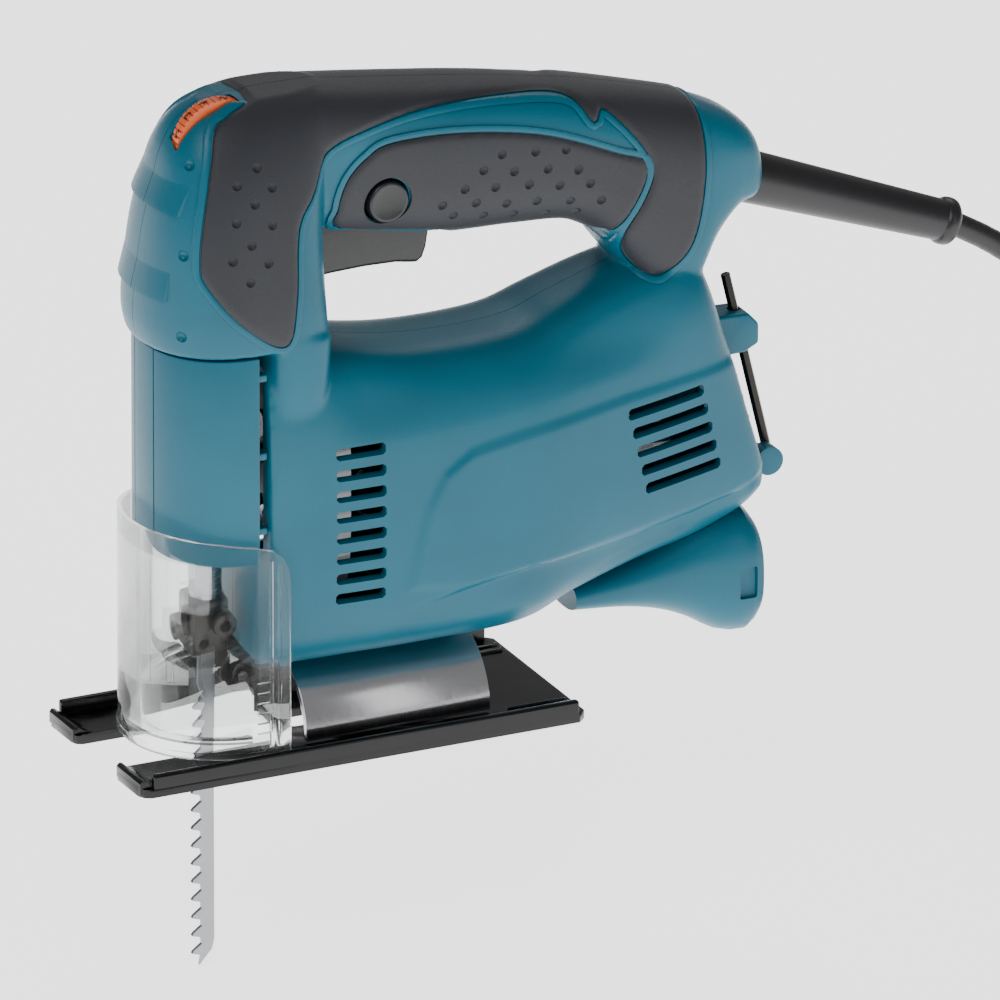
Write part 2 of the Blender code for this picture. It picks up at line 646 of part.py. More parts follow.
def controls():
    shape = ((-31.0, 137.6), (-31.0, 149.5), (-27.5, 155.5), (6.8, 153.0), (6.2, 143.0), (3.6, 137.0), (-14, 138.2))
    trigger = slab("trigger", shape, "Y", -9.4, 9.4, "black_plastic", 1.5)
    button = rod("lock_button", (-10.8, -19.0, 161), (-10.8, -15.2, 161), 6.2, "black_plastic")
    join(button, rod("button_stem", (-10.8, -16, 161), (-10.8, -6, 161), 2.4, sides=16, where=CUTTERS))
    dial = rod("speed_dial", (DIAL_X, -11, DIAL_Z), (DIAL_X, -3, DIAL_Z), DIAL_R, "orange_plastic", 32)
    block("switch_body", (-16, -9, 166.5), (16, 9, 180), "black_plastic", 1.0)
    block("speed_board", (-40, -8.5, 165), (-19, 8.5, 181), "circuit_board")
    rod("suppressor", (22, 0, 162), (38, 0, 162), 6.5, "black_plastic", 20)
    clamp = block("cord_clamp", (80, -9, 141.5), (89, 9, 159.5), "black_plastic")
    cut(clamp, rod("clamp_way", (70, 0, 154.6), (96, 0, 145.0), 4.4, where=CUTTERS))
    return trigger, button, dial


KEY_TOP = Vector((102.6, 0, 114.0))
KEY_FOOT = Vector((116.2, 0, 57.0))


def key_storage():
    """The hexagon key and the sleeve and rest that hold it behind the body."""
    foot = KEY_FOOT
    path = (KEY_TOP, foot, foot + Vector((0.2, 2.2, -2.2)), foot + Vector((0.4, 16, -3.0)))
    key = wire("hex_key", path, 1.5, "black_enamel", 1)
    middle = (KEY_TOP + foot) / 2 + (KEY_TOP - foot) * 0.2
    sleeve = block("key_sleeve", (94.0, -5.2, middle.z - 5), (110.6, 5.2, middle.z + 5.5), "teal_plastic", 1.0)
    cut(sleeve, moulded_form("sleeve_fit", GAP))
    along = (KEY_TOP - foot).normalized()
    ends = middle - along * 20, middle + along * 20
    cut(sleeve, rod("key_way_up", *ends, 1.9, sides=12, where=CUTTERS))
    rest = rod("key_rest", (113.2, -7.4, 58), (113.2, -2.4, 58), 4.2, "teal_plastic", 16)
    join(rest, block("rest_root", (104, -7.4, 55.5), (113.2, -2.4, 60.5), where=CUTTERS))
    cut(rest, moulded_form("rest_fit", GAP))
    return key


def wire(name, path, radius, material, resolution=2):
    """A round wire or cable along a chain of points."""
    curve = bpy.data.curves.new(name, "CURVE")
    curve.dimensions = "3D"
    curve.bevel_depth = radius * MM
    curve.bevel_resolution = resolution
    curve.use_fill_caps = True
    spline = curve.splines.new("POLY")
    spline.points.add(len(path) - 1)
    for point, place in zip(spline.points, path):
        point.co = (*(Vector(place) * MM), 1)
    obj = bpy.data.objects.new(name, curve)
    PARTS.objects.link(obj)
    curve.materials.append(finish(material))
    return obj


# ---- Cord -------------------------------------------------------------------------------------

GUARD_START = Vector((104.0, 0, 144.6))
GUARD_END = Vector((170.0, 0, 119.1))
CORD_ROUTE = (
    (173.9, 0.0, 117.5),
    (187.0, -0.1, 109.4),
    (199.6, -1.0, 98.6),
    (209.8, -3.0, 84.0),
    (216.0, -6.0, 66.0),
    (218.4, -10.0, 45.0),
    (218.6, -15.0, 22.0),
    (217.8, -20.5, -1.0),
    (217.6, -26.5, -24.0),
    (219.4, -33.2, -42.5),
    (223.4, -39.6, -55.4),
    (229.2, -44.6, -62.4),
    (234.6, -47.7, -64.3),
    (240.0, -48.9, -64.4),
)


def smooth_route(points, step):
    """Points along a Catmull-Rom curve through a route's own points, about a step apart."""
    points = [Vector(p) for p in points]
    ends = [2 * points[0] - points[1], *points, 2 * points[-1] - points[-2]]
    path = []
    for a, b, c, d in zip(ends, ends[1:], ends[2:], ends[3:]):
        count = max(1, round((c - b).length / step))
        for i in range(count):
            t = i / count
            path.append(
                0.5 * (2 * b + (c - a) * t + (2 * a - 5 * b + 4 * c - d) * t * t
                       + (3 * b - a - 3 * c + d) * t ** 3)
            )
    path.append(points[-1])
    return path


def turned(name, profile, middle, material):
    """A closed profile of (radius, height) spun round a vertical axis."""
    bm = bmesh.new()
    points = [bm.verts.new(Vector((r, 0, z)) * MM) for r, z in profile]
    edges = [bm.edges.new((a, b)) for a, b in zip(points, points[1:] + points[:1])]
    bmesh.ops.spin(bm, geom=points + edges, cent=(0, 0, 0), axis=(0, 0, 1), angle=2 * math.pi, steps=32,
                   use_merge=True, use_duplicate=False)
    bmesh.ops.remove_doubles(bm, verts=bm.verts, dist=1e-6)
    bmesh.ops.translate(bm, vec=Vector(middle) * MM, verts=bm.verts)
    return from_bmesh(name, bm, material)


def cord_set():
    """The guard, the loose stretch, the coil it is put away in, and the plug."""
    axis = (GUARD_END - GUARD_START).normalized()
    guard = rod("cord_guard", GUARD_START, GUARD_END, 7.7, "black_rubber", 24, 5.9)
    lip_end = GUARD_END + axis * 3.6
    join(guard, rod("guard_lip", GUARD_END - axis, lip_end, 6.9, where=CUTTERS))
    wire("power_cord", smooth_route(CORD_ROUTE, 8.0), CORD_R, "black_rubber")
    low, high = FLOOR_Z + 0.05, FLOOR_Z + 13.1
    inner, outer = COIL_COLUMNS[0] - CORD_R, COIL_COLUMNS[-1] + CORD_R
    profile = ((inner, low), (outer, low), (outer, low + 6.5), (outer - 3.5, high), (inner + 3.5, high),
               (inner, low + 6.5))
    turned("cord_coil", profile, (COIL_X, 0, 0), "black_rubber")
    tail = []
    for i in range(9):
        angle = math.radians(4 + 96 * i / 8)
        rise = 1.6 * (i / 8) ** 2
        tail.append((COIL_X + 9 + 30 * math.cos(angle), 30 * math.sin(angle), high + 3.9 + rise))
    wire("cord_tail", tail, CORD_R, "black_rubber")
    start = Vector(tail[-1])
    way = (start - Vector(tail[-2])).normalized()
    way.z = 0
    way.normalize()
    across = Vector((-way.y, way.x, 0))
    start = start + way * 0.5
    start.z = high + 7.6
    neck = start + way * 16
    face = start + way * 42
    outline = []
    for place, half in ((start, 5.0), (neck, 8.5), (neck + way * 10, 17.0), (face, 17.0)):
        outline.append((place + across * half, place - across * half))
    corners = [pair[0] for pair in outline] + [pair[1] for pair in reversed(outline)]
    flat = [(corner.x, corner.y) for corner in corners]
    slab("plug", flat, "Z", start.z - 7, start.z + 7, "black_rubber", 2.0)
    for i, side in enumerate((-1, 1)):
        root = face + way * 0.4 + across * 9.5 * side
        rod(f"plug_pin_{i + 1}", root, root + way * 19, 2.4, "brass", 16)


def build():
    housing_half(-1)
    housing_half(1)
    front_cover()
    for side, word in ((-1, "left"), (1, "right")):
        skin = grip(f"grip_{word}", HEAD_PAD, side)
        if side < 0:
            cut(skin, dial_slot())
        pad = grip(f"handle_pad_{word}", HANDLE_PAD, side)
        if side < 0:
            cut(pad, rod("button_room", (-10.8, -40, 161), (-10.8, -5, 161), 7.3, where=CUTTERS))
    dust_nozzle()
    carry("armature_axis", (0, 0, MOTOR_Z), motor())
    motor_surrounds()
    gear_case()
    carry("gear_axis", (-38, 0, GEAR_Z), drive_gear())
    carry("plunger_axis", (BLADE_X, 0, 90), plunger_set())
    carry("roller_axis", (ROLLER_X, 0, 17), guides())
    carry("cover_slide", (BLADE_X, 0, 40), [chip_cover()])
    tilting, sliding = sole_set()
    carry("tilt_axis", (0, 0, TILT_Z), tilting)
    carry("sole_slide", (BOLT_X, 0, TILT_Z), sliding)
    trigger, button, dial = controls()
    carry("trigger_pivot", (-26.5, 0, 151.5), [trigger])
    carry("button_axis", (-10.8, -17, 161), [button])
    carry("dial_axis", (DIAL_X, -7, DIAL_Z), [dial])
    carry("key_slide", KEY_TOP, [key_storage()])
    cord_set()


build()
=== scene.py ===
import math

import bmesh
import bpy
import numpy as np
from mathutils import Matrix, Vector


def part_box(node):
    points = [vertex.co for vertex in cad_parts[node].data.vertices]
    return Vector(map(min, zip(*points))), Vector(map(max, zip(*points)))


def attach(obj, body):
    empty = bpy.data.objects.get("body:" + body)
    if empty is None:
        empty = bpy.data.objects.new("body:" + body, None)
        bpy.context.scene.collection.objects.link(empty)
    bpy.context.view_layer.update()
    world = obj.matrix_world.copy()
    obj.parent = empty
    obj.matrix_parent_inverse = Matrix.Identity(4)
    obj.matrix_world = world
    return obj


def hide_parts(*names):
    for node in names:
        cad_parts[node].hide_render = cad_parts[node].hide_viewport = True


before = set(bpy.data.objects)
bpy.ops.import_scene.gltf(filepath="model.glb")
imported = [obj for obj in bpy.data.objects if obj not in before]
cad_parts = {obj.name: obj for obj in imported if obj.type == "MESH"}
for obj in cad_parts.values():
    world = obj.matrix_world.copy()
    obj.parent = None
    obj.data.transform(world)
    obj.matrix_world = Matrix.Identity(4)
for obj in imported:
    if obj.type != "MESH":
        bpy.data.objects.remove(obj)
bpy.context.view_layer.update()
scene = bpy.context.scene

# ---- Camera ----
# A long lens well back from the bench, above the tool and to the left of its front.

camera = bpy.data.objects.new("camera", bpy.data.cameras.new("camera"))
scene.collection.objects.link(camera)
camera.data.lens = 1347.3
camera.data.sensor_width = 36.0
camera.data.clip_end = 60.0
camera.location = (-4.1649, -8.8422, 3.9571)
aim = Vector((0.0324, 0.0, 0.0574))
camera.rotation_euler = (aim - camera.location).to_track_quat("-Z", "Y").to_euler()
scene.camera = camera

# ---- Mains lead ----
# A round two-core lead, about two metres long, sheathed in black rubber. It drops from the
# guard to the bench and is put away there in a coil of seven turns with its plug on top.


def corners(node):
    """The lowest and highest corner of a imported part, in millimetres."""
    low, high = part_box(node)
    return low * 1000, high * 1000


def through(points, step, closed=False):
    """Points about a step apart on a smooth curve through the given ones."""
    rows = np.array(points, float)
    if closed:
        ends = np.vstack([rows[-1:], rows, rows[:2]])
    else:
        ends = np.vstack([2 * rows[0] - rows[1], rows, 2 * rows[-1] - rows[-2]])
    path = []
    for a, b, c, d in zip(ends, ends[1:], ends[2:], ends[3:]):
        count = max(1, round(float(np.linalg.norm(c - b)) / step))
        for t in np.arange(count) / count:
            cubic = 3 * b - a - 3 * c + d
            path.append(0.5 * (2 * b + (c - a) * t + (2 * a - 5 * b + 4 * c - d) * t**2 + cubic * t**3))
    if not closed:
        path.append(rows[-1])
    return np.array(path)


def eased(share):
    """A share from 0 to 1 with a soft start and stop."""
    share = np.clip(share, 0.0, 1.0)
    return share * share * (3 - 2 * share)


LEAD_R = 3.5
DROP = (
    (170.0, 0.0, 119.2),
    (173.9, 0.0, 117.5),
    (187.0, -0.1, 109.4),
    (199.6, -1.0, 98.6),
    (209.8, -3.0, 84.0),
    (216.0, -6.0, 66.0),
    (218.4, -10.0, 45.0),
    (218.6, -15.0, 22.0),
    (217.8, -20.5, -1.0),
    (217.6, -26.5, -24.0),
    (219.4, -33.2, -42.5),
    (223.4, -39.6, -55.4),
    (229.2, -44.6, -62.4),
    (234.6, -47.7, -64.3),
    (240.0, -48.9, -64.4),
    (253.0, -49.0, -64.5),
)
coil_low, coil_high = corners("cord_coil")
coil_x = (coil_low.x + coil_high.x) / 2
bench = coil_low.z
# Radius and height over the bench of each turn: four on the bench, three in the grooves above
TURNS = ((49.0, 3.5), (42.0, 3.5), (35.0, 3.5), (28.0, 3.5), (31.5, 9.7), (38.5, 9.7), (45.5, 9.7))
STEP = 9.0
MOVE_FROM, MOVE_OVER = 236.0, 116.0
coil = []
for n, (radius, height) in enumerate(TURNS):
    last = n == len(TURNS) - 1
    for turned in np.arange(0.0, 450.0 if last else 360.0, STEP):
        if last:
            r = radius + (38.97 - radius) * eased((turned - MOVE_FROM) / 214.0)
            z = height + (17.0 - height) * eased((turned - 160.0) / 76.0)
        else:
            share = eased((turned - MOVE_FROM) / MOVE_OVER)
            r = radius + (TURNS[n + 1][0] - radius) * share
            z = height + (TURNS[n + 1][1] - height) * share
            z += 0.9 * math.sin(math.pi * share) * (n > 3)
        angle = math.radians(270.0 + turned)
        coil.append((coil_x + r * math.cos(angle), r * math.sin(angle), bench + z))
tail = []
for i in range(9):
    angle = math.radians(4 + 96 * i / 8)
    rise = 1.6 * (i / 8) ** 2
    tail.append((coil_x + 9 + 30 * math.cos(angle), 30 * math.sin(angle), bench + 17.0 + rise))
lead_path = np.vstack([through(DROP, 5.0), coil, tail]) / 1000

sweep = bpy.data.curves.new("mains_lead", "CURVE")
sweep.dimensions = "3D"
sweep.bevel_depth = LEAD_R / 1000
sweep.bevel_resolution = 4
sweep.use_fill_caps = True
spline = sweep.splines.new("POLY")
spline.points.add(len(lead_path) - 1)
for point, at in zip(spline.points, lead_path):
    point.co = (*at, 1.0)
spline.use_smooth = True
mains_lead = bpy.data.objects.new("mains_lead", sweep)
scene.collection.objects.link(mains_lead)


def hue(code):
    """An sRGB hex value as the linear colour that the shader works in."""
    parts = [int(code[i : i + 2], 16) / 255 for i in (1, 3, 5)]
    return (*(p / 12.92 if p <= 0.04045 else ((p + 0.055) / 1.055) ** 2.4 for p in parts), 1.0)


def put(material, kind, settings=None, **sockets):
    """One node with its settings, its sockets given a value or a link. S3 means socket number 3."""
    tree = material.node_tree
    made = tree.nodes.new(kind)
    for name, value in (settings or {}).items():
        setattr(made, name, value)
    for name, value in sockets.items():
        socket = made.inputs[int(name[1:]) if name[1:].isdigit() else name.replace("_", " ")]
        if isinstance(value, bpy.types.NodeSocket):
            tree.links.new(value, socket)
        else:
            socket.default_value = value
    return made


def new_finish(name, metallic=0.0, **fixed):
    """A material with a plain shader, and the object's own coordinates to place patterns by."""
    material = bpy.data.materials.new(name)
    material.use_nodes = True
    material.node_tree.nodes.clear()
    shader = put(material, "ShaderNodeBsdfPrincipled", Metallic=metallic, **fixed)
    out = put(material, "ShaderNodeOutputMaterial", Surface=shader.outputs["BSDF"])
    out.is_active_output = True
    place = put(material, "ShaderNodeTexCoord").outputs["Object"]
    return material, shader, place


def shade(material, shader, colour, roughness, normal=None):
    """Joins a colour, a roughness and a bump to the shader."""
    links = material.node_tree.links
    links.new(colour, shader.inputs["Base Color"])
    links.new(roughness, shader.inputs["Roughness"])
    if normal:
        links.new(normal, shader.inputs["Normal"])
    return material


def moulded(name, colour, roughness, grain_mm, depth_mm, shift=0.12, **fixed):
    """Moulded plastic or rubber: a fine grain from the eroded mould, and a slow drift of shade."""
    material, shader, place = new_finish(name, **fixed)
    slow = put(material, "ShaderNodeTexNoise", Vector=place, Scale=1 / 0.03, Detail=3.0)
    grain = put(material, "ShaderNodeTexNoise", Vector=place, Scale=1000 / grain_mm, Detail=2.0)
    dark = tuple(c * (1 - shift) for c in hue(colour)[:3]) + (1.0,)
    light = tuple(min(1.0, c * (1 + shift)) for c in hue(colour)[:3]) + (1.0,)
    both = put(material, "ShaderNodeMath", {"operation": "MULTIPLY_ADD"},
               S0=grain.outputs["Fac"], S1=0.4, S2=slow.outputs["Fac"])
    share = put(material, "ShaderNodeMapRange", Value=both.outputs[0], From_Min=0.45, From_Max=0.95)
    tint = put(material, "ShaderNodeMix", {"data_type": "RGBA"}, S0=share.outputs[0], S6=dark, S7=light)
    rough = put(material, "ShaderNodeMapRange", Value=grain.outputs["Fac"], From_Min=0.3, From_Max=0.7,
                To_Min=roughness - 0.06, To_Max=roughness + 0.06)
    bump = put(material, "ShaderNodeBump", Height=grain.outputs["Fac"], Strength=0.6,
               Distance=depth_mm / 1000)
    return shade(material, shader, tint.outputs[2], rough.outputs[0], bump.outputs[0])


# Rubber sheath: extruded, so smooth, with a soft sheen and a little dust in its fine pores.
rubber_sheath = moulded("extruded_black_rubber", "#141415", 0.42, 1.1, 0.03, 0.25)
sweep.materials.append(rubber_sheath)
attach(mains_lead, "housing")
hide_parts("power_cord", "cord_coil", "cord_tail")

# ---- Cord guard ----
# A straight tapered sleeve of black rubber round the lead where it leaves the handle. It is
# moulded in one piece: a smooth taper and a rolled end lip.


def bands(bm, rings, cap=True):
    """Skins a row of point rings with faces and closes the two ends."""
    loops = []
    for points in rings:
        loop = bmesh.ops.create_circle(bm, segments=len(points), radius=1.0)["verts"]
        for vert, point in zip(loop, points):
            vert.co = point
        loops.append({edge for vert in loop for edge in vert.link_edges})
    for a, b in zip(loops, loops[1:]):
        bmesh.ops.bridge_loops(bm, edges=list(a | b))
    if cap:
        for loop in (loops[0], loops[-1]):
            bmesh.ops.edgeloop_fill(bm, edges=list(loop))
    bmesh.ops.recalc_face_normals(bm, faces=bm.faces)


def made(name, bm, material=None, smooth=35.0, scale=0.001):
    """Turns a bmesh in millimetres into an object in metres that sits at the origin."""
    bmesh.ops.scale(bm, vec=(scale,) * 3, verts=bm.verts)
    mesh = bpy.data.meshes.new(name)
    bm.to_mesh(mesh)
    bm.free()
    piece = bpy.data.objects.new(name, mesh)
    scene.collection.objects.link(piece)
    if material:
        mesh.materials.append(material)
    mesh.shade_smooth()
    mesh.set_sharp_from_angle(angle=math.radians(smooth))
    return piece


def along(start, end, profile, sides=48):
    """Rings for a shape turned round the line from start to end: (distance, radius) each."""
    start, end = Vector(start), Vector(end)
    turn = Vector((0, 0, 1)).rotation_difference(end - start).to_matrix()
    rings = []
    for distance, radius in profile:
        ring = []
        for i in range(sides):
            angle = 2 * math.pi * i / sides
            spoke = Vector((radius * math.cos(angle), radius * math.sin(angle), distance))
            ring.append(start + turn @ spoke)
        rings.append(ring)
    return rings


guard_start = Vector((104.0, 0.0, 144.6))
guard_end = Vector((173.4, 0.0, 117.8))
guard_long = (guard_end - guard_start).length
GUARD = [
    (0.0, 7.7), (1.0, 7.75), (guard_long - 5.0, 6.0), (guard_long - 4.4, 6.05), (guard_long - 4.0, 6.5),
    (guard_long - 3.2, 6.85), (guard_long - 1.6, 6.9), (guard_long - 0.6, 6.6), (guard_long, 5.9),
    (guard_long + 0.1, 4.4), (guard_long - 1.2, 3.9),
]
bm = bmesh.new()
bands(bm, along(guard_start, guard_end, GUARD))
# Rubber guard: injection moulded, a touch glossier than the sheath.
guard_rubber = moulded("moulded_black_rubber", "#17171A", 0.36, 0.7, 0.03, 0.2)
guard = made("bend_guard", bm, guard_rubber)
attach(guard, "housing")
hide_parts("cord_guard")

# ---- Plug ----
# A two-pin plug moulded onto the lead in the same rubber, with ribs at its neck and a flat face
# that holds two round brass pins, each sleeved for half its length.

tail_end, before = Vector(tail[-1]), Vector(tail[-2])
way = (tail_end - before).normalized()
way.z = 0.0
way.normalize()
side = Vector((-way.y, way.x, 0.0))
up = Vector((0, 0, 1))
plug_at = tail_end + way * 0.5
plug_at.z = bench + 20.7


def squared(middle_u, middle_v, half_u, half_v, power, sides, front=None):
    """Points round an oval that is squarer the higher its power. Its low-u half may have its own."""
    points = []
    for i in range(sides):
        angle = 2 * math.pi * (i + 0.5) / sides
        c, s = math.cos(angle), math.sin(angle)
        square = front if front and c < 0 else power
        points.append((middle_u + half_u * math.copysign(abs(c) ** (2 / square), c),
                       middle_v + half_v * math.copysign(abs(s) ** (2 / square), s)))
    return points


# Distance from the lead, half width, half height, squareness
PLUG = (
    (0.0, 4.4, 4.4, 2.0), (3.0, 5.0, 4.8, 2.0), (4.0, 4.4, 4.3, 2.0), (6.0, 4.6, 4.5, 2.0),
    (7.0, 5.6, 5.0, 2.1), (9.0, 5.7, 5.1, 2.1), (10.0, 5.0, 4.7, 2.1), (12.5, 5.6, 5.0, 2.2),
    (16.0, 8.2, 5.8, 2.4), (21.0, 13.2, 6.6, 2.8), (26.0, 16.4, 6.9, 3.2), (31.0, 16.9, 6.9, 3.4),
    (41.0, 16.6, 6.8, 3.6), (42.0, 15.8, 6.0, 3.6),
)
rings = []
for distance, half_u, half_v, power in PLUG:
    middle = plug_at + way * distance
    flat = squared(0, 0, half_u, half_v, power, 40)
    rings.append([middle + side * u + up * v for u, v in flat])
bm = bmesh.new()
bands(bm, rings)
plug_body = made("mains_plug", bm, guard_rubber)
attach(plug_body, "housing")
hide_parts("plug")

# Drawn brass: bright, with faint rings left by the lathe.


def turned_metal(name, colour, roughness, pitch_mm, axis="Z", shift=0.15, **fixed):
    """Metal with fine tool marks across one axis."""
    material, shader, place = new_finish(name, metallic=1.0, **fixed)
    stretch = {"X": (1.0, 0.06, 0.06), "Y": (0.06, 1.0, 0.06), "Z": (0.06, 0.06, 1.0)}[axis]
    laid = put(material, "ShaderNodeMapping", Vector=place, Scale=stretch)
    marks = put(material, "ShaderNodeTexNoise", Vector=laid.outputs[0], Scale=1000 / pitch_mm, Detail=4.0)
    cloud = put(material, "ShaderNodeTexNoise", Vector=place, Scale=1 / 0.012, Detail=3.0)
    dark = tuple(c * (1 - shift) for c in hue(colour)[:3]) + (1.0,)
    tint = put(material, "ShaderNodeMix", {"data_type": "RGBA"}, S0=cloud.outputs["Fac"],
               S6=dark, S7=hue(colour))
    rough = put(material, "ShaderNodeMapRange", Value=marks.outputs["Fac"], From_Min=0.3, From_Max=0.7,
                To_Min=roughness - 0.03, To_Max=roughness + 0.05)
    bump = put(material, "ShaderNodeBump", Height=marks.outputs["Fac"], Strength=0.2, Distance=0.00001)
    return shade(material, shader, tint.outputs[2], rough.outputs[0], bump.outputs[0])


drawn_brass = turned_metal("drawn_brass", "#C9A24F", 0.28, 0.5)
PIN = [(0.0, 2.4), (10.2, 2.4), (10.3, 2.25), (18.6, 2.25), (19.8, 1.7), (20.4, 0.8)]
for number, across in ((1, -9.5), (2, 9.5)):
    root = plug_at + way * 42.0 + side * across
    bm = bmesh.new()
    bands(bm, along(root - way * 1.0, root + way * 19.4, PIN, 24))
    pin = made(f"plug_pin_{number}_round", bm, drawn_brass)
    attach(pin, "housing")
    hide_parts(f"plug_pin_{number}")

# ---- Coil tie ----
# A strap of black hook-and-loop tape that holds the turns of the lead together.

TIE_HALF_WIDE = 7.0
TIE_THICK = 0.8
tie_turn = math.radians(60)
out = Vector((math.cos(tie_turn), math.sin(tie_turn), 0.0))
over = Vector((-out.y, out.x, 0.0))
TIE = [
    (24.2, 1.6), (24.2, 5.2), (27.4, 10.4), (30.4, 13.9), (39.0, 14.2), (47.4, 13.9),
    (50.6, 10.4), (53.8, 5.2), (53.8, 1.6), (52.4, -0.1), (39.0, -0.15), (25.6, -0.1),
]
tie_outline = through(TIE, 1.5, True)
rings = []
for inward, across in ((0.0, -1.0), (0.0, 1.0), (TIE_THICK, 1.0), (TIE_THICK, -1.0)):
    ring = []
    for r, z in tie_outline:
        r += inward * (1 if r > 39 else -1) * min(1.0, abs(r - 39) / 10)
        z += inward if z > 6 else -0.2 * inward
        ring.append(Vector((coil_x, 0, bench)) + out * r + over * (across * TIE_HALF_WIDE) + up * z)
    rings.append(ring)
bm = bmesh.new()
bands(bm, [*rings, rings[0]], cap=False)
bmesh.ops.remove_doubles(bm, verts=bm.verts, dist=0.001)
bmesh.ops.recalc_face_normals(bm, faces=bm.faces)


def woven(name, colour, pitch_mm, roughness):
    """Close woven tape, its threads drawn at their real spacing."""
    material, shader, place = new_finish(name)
    warp = put(material, "ShaderNodeTexWave", {"bands_direction": "DIAGONAL"}, Vector=place,
               Scale=1000 / pitch_mm / 20, Distortion=0.6)
    weft = put(material, "ShaderNodeTexWave", {"bands_direction": "Z"}, Vector=place,
               Scale=1000 / pitch_mm / 20, Distortion=0.6)
    weave = put(material, "ShaderNodeMath", {"operation": "MULTIPLY"}, S0=warp.outputs["Fac"],
                S1=weft.outputs["Fac"])
    dark = tuple(c * 0.6 for c in hue(colour)[:3]) + (1.0,)
    tint = put(material, "ShaderNodeMix", {"data_type": "RGBA"}, S0=weave.outputs[0],
               S6=dark, S7=hue(colour))
    rough = put(material, "ShaderNodeMapRange", Value=weave.outputs[0],
                To_Min=roughness, To_Max=roughness + 0.15)
    bump = put(material, "ShaderNodeBump", Height=weave.outputs[0], Strength=0.5, Distance=0.0002)
    return shade(material, shader, tint.outputs[2], rough.outputs[0], bump.outputs[0])


tie = made("coil_tie", bm, woven("woven_nylon_tape", "#26262A", 0.9, 0.75))
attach(tie, "housing")

# ---- Bench and light ----
# A pale seamless bench top under three soft boxes and a white room.

bm = bmesh.new()
bmesh.ops.create_grid(bm, x_segments=1, y_segments=1, size=6000.0)
bmesh.ops.translate(bm, vec=(0, 0, bench - 1.0), verts=bm.verts)
bench_paint, shader, place = new_finish(
    "matt_white_paint", Emission_Color=(1.0, 1.0, 1.0, 1.0), Emission_Strength=2.0
)
speck = put(bench_paint, "ShaderNodeTexNoise", Vector=place, Scale=400.0, Detail=2.0)
tint = put(bench_paint, "ShaderNodeMix", {"data_type": "RGBA"}, S0=speck.outputs["Fac"],
           S6=hue("#FAFAFA"), S7=hue("#FFFFFF"))
rough = put(bench_paint, "ShaderNodeMapRange", Value=speck.outputs["Fac"], To_Min=0.75, To_Max=0.85)
shade(bench_paint, shader, tint.outputs[2], rough.outputs[0])
bench_top = made("bench_top", bm, bench_paint)

room = bpy.data.worlds.new("white_room")
room.use_nodes = True
room.node_tree.nodes["Background"].inputs["Color"].default_value = hue("#FFFFFF")
room.node_tree.nodes["Background"].inputs["Strength"].default_value = 0.3
scene.world = room


def soft_box(name, at, size, power):
    """A square area light aimed at the tool."""
    lamp = bpy.data.lights.new(name, "AREA")
    lamp.shape = "RECTANGLE"
    lamp.size, lamp.size_y = size
    lamp.energy = power
    box = bpy.data.objects.new(name, lamp)
    scene.collection.objects.link(box)
    box.location = at
    box.rotation_euler = (Vector((0.03, 0, 0.08)) - box.location).to_track_quat("-Z", "Y").to_euler()


soft_box("key_box", (-0.9, -0.9, 1.5), (0.9, 0.9), 12.0)
soft_box("side_box", (0.7, -1.6, 0.7), (0.5, 1.2), 2.5)
soft_box("rim_box", (0.6, 1.0, 1.3), (1.2, 0.5), 5.0)

# ---- Housing ----
# Two clamshell halves in glass-filled nylon, moulded in teal. They meet on the tool's middle
# plane and close round the motor, the switch and the gears.

# Along X: place, left and right side, bottom and top, squareness
BELLY = (
    (-51.0, -26.6, 26.6, 24.5, 124.5, 3.6),
    (-44.0, -27.0, 27.0, 24.5, 123.0, 3.6),
    (-28.0, -28.5, 28.5, 24.5, 119.0, 3.5),
    (0.0, -29.5, 29.5, 24.5, 114.5, 3.5),
    (30.0, -29.5, 29.5, 25.5, 114.5, 3.5),
    (47.0, -27.5, 27.5, 31.0, 119.0, 3.4),
    (70.0, -24.0, 24.0, 36.5, 126.0, 3.2),
    (86.9, -20.7, 20.7, 39.5, 127.0, 3.2),
    (95.5, -18.5, 18.5, 42.0, 108.0, 3.0),
    (103.5, -16.0, 16.0, 46.0, 80.0, 2.8),
    (109.0, -12.0, 12.0, 50.0, 63.0, 2.6),
)
# Up Z: place, front and rear, left and right side, squareness of the rear and of the front
HEAD = (
    (124.5, -79.8, -27.5, -26.8, 26.8, 4.4, 2.25),
    (131.0, -81.4, -28.0, -27.3, 27.3, 4.4, 2.25),
    (140.0, -81.0, -29.0, -27.0, 27.0, 4.2, 2.3),
    (157.0, -78.8, -29.0, -25.2, 25.2, 3.8, 2.4),
    (171.0, -75.6, -27.0, -22.6, 22.6, 3.4, 2.5),
    (182.0, -72.6, -24.0, -19.0, 19.0, 3.0, 2.5),
    (189.4, -67.8, -22.0, -14.5, 14.5, 2.7, 2.4),
    (193.9, -61.0, -26.0, -9.0, 9.0, 2.4, 2.3),
)
